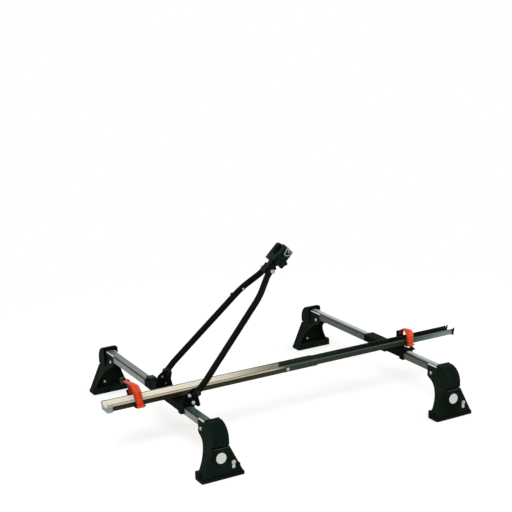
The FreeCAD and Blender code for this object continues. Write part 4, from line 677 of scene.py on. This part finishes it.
def grip_rings():
    """A rounded rectangle, |x|^4 + |z|^4 = 1, 18 mm wide and 20 mm high, carried from y 70 to 82. Its
    size is 1 less a little at the ends and 7% less in four valleys."""
    t = np.linspace(0, 1, 49)
    around = circle(48)
    c, s = np.cos(around), np.sin(around)
    reach = (c ** 4 + s ** 4) ** -0.25
    ends = np.sqrt(np.clip(1 - np.abs(2 * t - 1) ** 10, 0, 1)) * 0.25 + 0.75
    size = ends * (1 - 0.07 * (0.5 - 0.5 * np.cos(8 * math.pi * t)) ** 3)
    z = GRIP_Z + 10.0 * size[:, None] * reach * s
    x = strap_x + (z - foot_z) * lean + 9.0 * size[:, None] * reach * c
    y = np.broadcast_to(TRAY_MIDDLE + GRIP_Y + GRIP_LONG * t[:, None], z.shape)
    return np.stack([x, y, z], -1)


grip = solid_from_rings("front_strap_ridged_grip", grip_rings(), strap_black, "front_strap",
                        sharp=60)
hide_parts("front_strap_grip")

# %% [markdown]
# ## The pale disc on each cover
# A plain pale disc sits on a low boss of each cover: a thin enamelled plate with a rolled edge and a
# shallow field. It could be a short cylinder, but the rolled edge is what catches the light.

# %% Places on a cover
COVER_LOW = 12.0
COVER_FACE_Y = 461.0
COVER_LEAN = 2.5
COVER_RISE = 84.0


def cover_face(z):
    """How far out the cover's face is at a height: 461 mm at height 12, and 2.5 mm less 84 mm higher."""
    return COVER_FACE_Y - COVER_LEAN * (z - COVER_LOW) / COVER_RISE


def set_on_foot(points, corner):
    """A near-side shape moved to its bar, and for the far side turned half round: x and y change sign."""
    bar, side = corner.split("_")
    sign = -1.0 if side == "far" else 1.0
    return points * np.array([sign, sign, 1.0]) + np.array([BAR_X[bar], 0.0, 0.0])


print("cover face at height 66:", round(cover_face(66.0), 2), "mm out")

# %% Disc
# Enamel is a smooth glass-like coat: pale, even, with a clear gloss over it.
disc_enamel = worked_surface("pale_enamel_disc", "#dcded6", "#d2d5cc", "#f0f1ea", rough=0.28, coat=0.3,
                             drift_mm=20.0, grain_mm=1.5, grain_depth=0.01, edge_mm=0.4)
DISC_X, DISC_Z = -4.0, 66.0
BOSS_HIGH = 0.82


def disc_rings():
    """Rings of shrinking radius on the cover's sloping face: the profile goes up the rim, over a rolled
    edge, down into a shallow field and across to the middle."""
    around = circle(64)
    radius = np.array([15.9, 16.3, 16.3, 15.9, 15.2, 14.6, 14.1, 6.0, 0.6])[:, None]
    proud = np.array([-0.6, -0.2, 0.5, 0.8, 0.9, 0.8, 0.6, 0.6, 0.6])[:, None]
    x = DISC_X + radius * np.cos(around)
    z = DISC_Z + radius * np.sin(around)
    return np.stack([x, -(cover_face(z) + BOSS_HIGH + proud), z], -1)


for corner in CORNERS:
    solid_from_rings(corner + "_disc", set_on_foot(disc_rings(), corner), disc_enamel,
                     corner + "_cover")

# %% [markdown]
# ## The cover's top edge and key flap
# The cover's top edge is rolled into a thin ridge, which catches a line of light under the cap, and its
# bluish grey colour is a painted highlight. Below the lock barrel hangs a small chromed flap. Both are
# low rounded forms on the cover's sloping face. They could be cut into the cover, but as pieces of their
# own they get their own finish.

# %% Ridge and key flap
# The same plastic as the cover's, painted a bluish grey as a highlight along the edge.
ridge_painted_highlight = worked_surface("ridge_plastic_painted_highlight", "#2b373d", "#242f34", "#5a696e", rough=0.38,
                               level=0.2, grain_mm=0.9, grain_depth=0.02, edge_mm=0.4)
RIDGE_R = 1.3
RIDGE_HALF = 26.0
RIDGE_Y, RIDGE_Z = -458.5, 94.6
FLAP_X, FLAP_Z = 34.0, 32.6


def ridge_rings():
    """A rod of radius 1.3 mm along X, 52 mm long, a tenth higher than deep and thinner at its ends: its
    radius is times 1 - |t|^16, but at least 0.08."""
    t = np.linspace(-1, 1, 41)
    around = circle(16)
    radius = RIDGE_R * np.clip(1 - np.abs(t) ** 16, 0.08, 1)[:, None]
    y = RIDGE_Y - radius * np.cos(around)
    z = RIDGE_Z + radius * np.sin(around) * 1.1
    return np.stack([np.broadcast_to(RIDGE_HALF * t[:, None], y.shape), y, z], -1)


def flap_rings():
    """Rings of a rounded square, |x|^3 + |z|^3 = 1, of 11 by 12 mm, that rise over a soft edge to a face
    with a shallow dish."""
    around = circle(48)
    c, s = np.cos(around), np.sin(around)
    reach = (np.abs(c) ** 3 + np.abs(s) ** 3) ** (-1 / 3)
    size = np.array([0.96, 1.0, 1.0, 0.94, 0.86, 0.5, 0.05])[:, None]
    proud = np.array([-0.5, -0.1, 0.5, 1.0, 1.15, 1.0, 0.95])[:, None]
    x = FLAP_X + 5.5 * size * reach * c
    z = FLAP_Z + 6.0 * size * reach * s
    return np.stack([x, -(cover_face(z) + proud), z], -1)


for corner in CORNERS:
    solid_from_rings(corner + "_cover_ridge", set_on_foot(ridge_rings(), corner), ridge_painted_highlight,
                     corner + "_cover")
    solid_from_rings(corner + "_key_flap", set_on_foot(flap_rings(), corner), chrome,
                     corner + "_cover")

# %% [markdown]
# ## Stiffening ribs on the near jaw
# The near jaw of the clamp is a moulding with raised ribs, so that it stays stiff with little plastic:
# two long ribs meet at a peak near the tip, a short one runs down between them, and a curved one joins
# their feet. Their pale colour is a painted highlight, paler than the pockets between them. The clamp
# stands askew on the arm, so its forms are worked out in a frame of its own and turned into place.

# %% Clamp frame
# The arm starts at its pivot on the bracket and rises at 43.7 degrees for 512 mm to the clamp's mouth.
PIVOT = np.array([-389.0, -140.0, 197.0])
ARM_LENGTH = 512.0
ARM_RISE = math.radians(43.7)
ALONG = np.array([math.cos(ARM_RISE), 0.0, math.sin(ARM_RISE)])
MOUTH_LINE = np.array([-math.sin(ARM_RISE), 0.0, math.cos(ARM_RISE)])
SIDEWAYS = np.array([0.0, 1.0, 0.0])


def on_clamp(x, y, z):
    """A point of the clamp's own frame, with x along the arm from the middle of the clamp's mouth and z
    along the mouth, as millimetres of the whole."""
    return (PIVOT + (ARM_LENGTH + x)[..., None] * ALONG + z[..., None] * MOUTH_LINE
            + y[..., None] * SIDEWAYS)


print("the mouth's middle is at", (PIVOT + ARM_LENGTH * ALONG).round(1).tolist(), "mm")

# %% Jaw ribs
# Nylon painted a pale blue grey as a highlight, smoother than the pockets.
rib_painted_glint = worked_surface("rib_nylon_painted_glint", "#93a3a0", "#7f8f8c", "#b4c2be", rough=0.4, level=0.3,
                             drift_mm=9.0, grain_mm=0.8, grain_depth=0.03, edge_mm=0.6)
# Each rib's start, middle and end on the jaw's face.
RIBS = {"left": ((20.0, 9.0), (8.0, 6.6), (-5.0, 3.0)),
        "right": ((20.0, 9.0), (17.5, -3.0), (12.5, -16.5)),
        "stem": ((18.5, 6.5), (14.0, 0.0), (8.0, -6.5)),
        "foot": ((-5.0, 1.0), (-1.0, -9.5), (10.0, -16.0))}
JAW_FACE_Y = -30.0


def rib_rings(start, middle, end):
    """A bent bar on the jaw's face: the line is (1-t)^2 start + 2 t (1-t) middle + t^2 end, and the
    section is 3.6 mm wide at the face, 2.2 mm at its top and 3 mm high."""
    t = np.linspace(0, 1, 21)[:, None]
    a, b, c = (np.array(p) for p in (start, middle, end))
    line = (1 - t) ** 2 * a + 2 * t * (1 - t) * b + t ** 2 * c
    slope = 2 * (1 - t) * (b - a) + 2 * t * (c - b)
    slope /= np.linalg.norm(slope, axis=1)[:, None]
    side = np.stack([-slope[:, 1], slope[:, 0]], -1)
    wide = np.array([-1.8, -1.7, -1.35, -1.1, 1.1, 1.35, 1.7, 1.8])
    high = np.array([-0.4, 1.4, 2.7, 3.0, 3.0, 2.7, 1.4, -0.4])
    flat = line[:, None, :] + side[:, None, :] * wide[None, :, None]
    return on_clamp(flat[..., 0], np.broadcast_to(JAW_FACE_Y - high, flat.shape[:2]), flat[..., 1])


for name, points in RIBS.items():
    solid_from_rings("near_jaw_rib_" + name, rib_rings(*points), rib_painted_glint, "jaw",
                     sharp=40)

# %% [markdown]
# ## The clamp's knob
# The knob is a moulding with five lobes and a domed face. A cylinder with five more on its rim would have
# sharp inner corners, so its outline is one wave round a circle instead, scaled along a rounded profile.

# %% Knob
COLLAR_R = 9.0
SCREW_X = -29.0


def knob_rings():
    """Radius is 15 mm plus 5 mm times (0.5 + 0.5 cos 5a) to the power 1.4. The profile takes it from the
    collar over a rounded edge to a dome with a shallow dish."""
    around = circle(100)
    lobes = 15.0 + 5.0 * (0.5 + 0.5 * np.cos(5 * around)) ** 1.4
    y = np.array([-30.3, -33.6, -34.1, -34.6, -36.0, -44.5, -46.6, -47.6, -48.0, -47.7, -47.2, -47.0])
    lobed = np.array([0.0, 0.0, 0.6, 0.93, 1.0, 1.0, 0.95, 0.84, 0.66, 0.5, 0.28, 0.05])[:, None]
    radius = np.where(lobed > 0, lobed * lobes, COLLAR_R)
    x = SCREW_X + radius * np.cos(around)
    return on_clamp(x, np.broadcast_to(y[:, None], x.shape), radius * np.sin(around))


knob = solid_from_rings("clamp_knob_moulding", knob_rings(), clamp_plastic, "knob",
                        sharp=50)
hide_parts("clamp_knob")

# %% [markdown]
# ## A bright rivet on the far leg
# Where the far leg bends, the bright head of a rivet faces the near side and makes one small light on the
# black tube. It is a dome on a short shank, turned like a cup, and the shank ends inside the tube's wall.

# %% Rivet
RIVET_X = -160.0
LEG_WALL_Y = 48.6


def rivet_rings():
    """Rings about an axis across the arm: the head's radius is 3.4 mm times sqrt(1 - (h / 2.0)^2), with
    a 1.6 mm shank behind it."""
    around = circle(24)
    high = np.array([-1.2, 0.4, 0.4, 0.9, 1.3, 1.7, 1.9, 1.98])
    radius = 3.4 * np.sqrt(1 - (high / 2.0) ** 2)
    radius[:2] = 1.6
    x = RIVET_X + radius[:, None] * np.cos(around)
    y = np.broadcast_to(LEG_WALL_Y - high[:, None], x.shape)
    return on_clamp(x, y, radius[:, None] * np.sin(around))


solid_from_rings("far_leg_rivet", rivet_rings(), zinc, "arm", sharp=50)

# %% [markdown]
# ## The floor and the light
# The ground is white and the light soft, from above the near side. A pale floor keeps a faint shadow,
# and what the camera sees of the world is white. A white wall would need more light to be white, and that
# would bleach the object too. Two large lamps are enough: one high at the left in front, and a weaker
# one from the right.

# %% Floor
FLOOR_HALF = 12.0
FLOOR_GLOW = 0.45
BARE_FROM, BARE_FULLY = 0.9, 1.9
floor_mesh = bpy.data.meshes.new("floor")
floor_corners = [(x * FLOOR_HALF, y * FLOOR_HALF, 0) for x, y in ((-1, -1), (1, -1), (1, 1), (-1, 1))]
floor_mesh.from_pydata(floor_corners, [], [(0, 1, 2, 3)])
floor = bpy.data.objects.new("floor", floor_mesh)
bpy.context.scene.collection.objects.link(floor)
print("floor", 2 * FLOOR_HALF, "m wide")

# %% Floor paper
# Studio paper is matt and takes a soft shadow. What the camera sees of it also glows a little, and from
# 0.9 to 1.9 m away from the middle it turns to plain white, so the picture has no horizon.
floor_paper, tree, output = new_material("studio_paper")
seen = add_node(tree, "LightPath").outputs["Is Camera Ray"]
paper = add_node(tree, "BsdfPrincipled", {"Base Color": "#e6e6e4", "Roughness": 0.9,
                                          "Specular IOR Level": 0.1})
glow_strength = add_node(tree, "Math", {0: seen, 1: FLOOR_GLOW}, operation="MULTIPLY")
glow = add_node(tree, "Emission", {"Color": "#ffffff", "Strength": glow_strength})
both = add_node(tree, "AddShader", {0: paper, 1: glow})
away = add_node(tree, "VectorMath", {0: add_node(tree, "TexCoord").outputs["Object"]}, operation="LENGTH")
bare = add_node(tree, "MapRange", {"Value": away, "From Min": BARE_FROM, "From Max": BARE_FULLY},
                interpolation_type="SMOOTHSTEP")
bare_seen = add_node(tree, "Math", {0: bare, 1: seen}, operation="MULTIPLY")
white = add_node(tree, "Emission", {"Color": "#ffffff", "Strength": 1.0})
ground = add_node(tree, "MixShader", {0: bare_seen, 1: both, 2: white})
tree.links.new(ground.outputs[0], output.inputs[0])
floor_mesh.materials.append(floor_paper)
print("white ground from", BARE_FULLY, "m on")

# %% World
# The world is white to the eye and in mirrors, and lights the object at half of that.
WORLD_LIGHT = 0.5
world = bpy.data.worlds.new("studio")
world.use_nodes = True
bpy.context.scene.world = world
sky = world.node_tree
sky.nodes.clear()
path = add_node(sky, "LightPath").outputs
seen = add_node(sky, "Math", {0: path["Is Camera Ray"], 1: path["Is Glossy Ray"]}, operation="MAXIMUM")
seen = add_node(sky, "Math", {0: seen, 1: path["Is Transmission Ray"]}, operation="MAXIMUM")
strength = add_node(sky, "MapRange", {"Value": seen, "To Min": WORLD_LIGHT, "To Max": 1.0})
sky_light = add_node(sky, "Background", {"Color": "#ffffff", "Strength": strength})
add_node(sky, "OutputWorld", {0: sky_light})
print("world lights at", WORLD_LIGHT)

# %% Lamps
MIDDLE = Vector((0, 0, 0.2))


def lamp(name, place, size, power):
    """A square area lamp that looks at the middle of the object."""
    data = bpy.data.lights.new(name, "AREA")
    data.size = size
    data.energy = power
    holder = bpy.data.objects.new(name, data)
    holder.location = place
    holder.rotation_mode = "QUATERNION"
    holder.rotation_quaternion = (MIDDLE - Vector(place)).to_track_quat("-Z", "Y")
    bpy.context.scene.collection.objects.link(holder)
    print(name, power, "W")


lamp("key_lamp", (-2.0, -2.6, 3.6), size=2.4, power=95.0)
lamp("fill_lamp", (3.0, -1.6, 2.2), size=2.4, power=30.0)
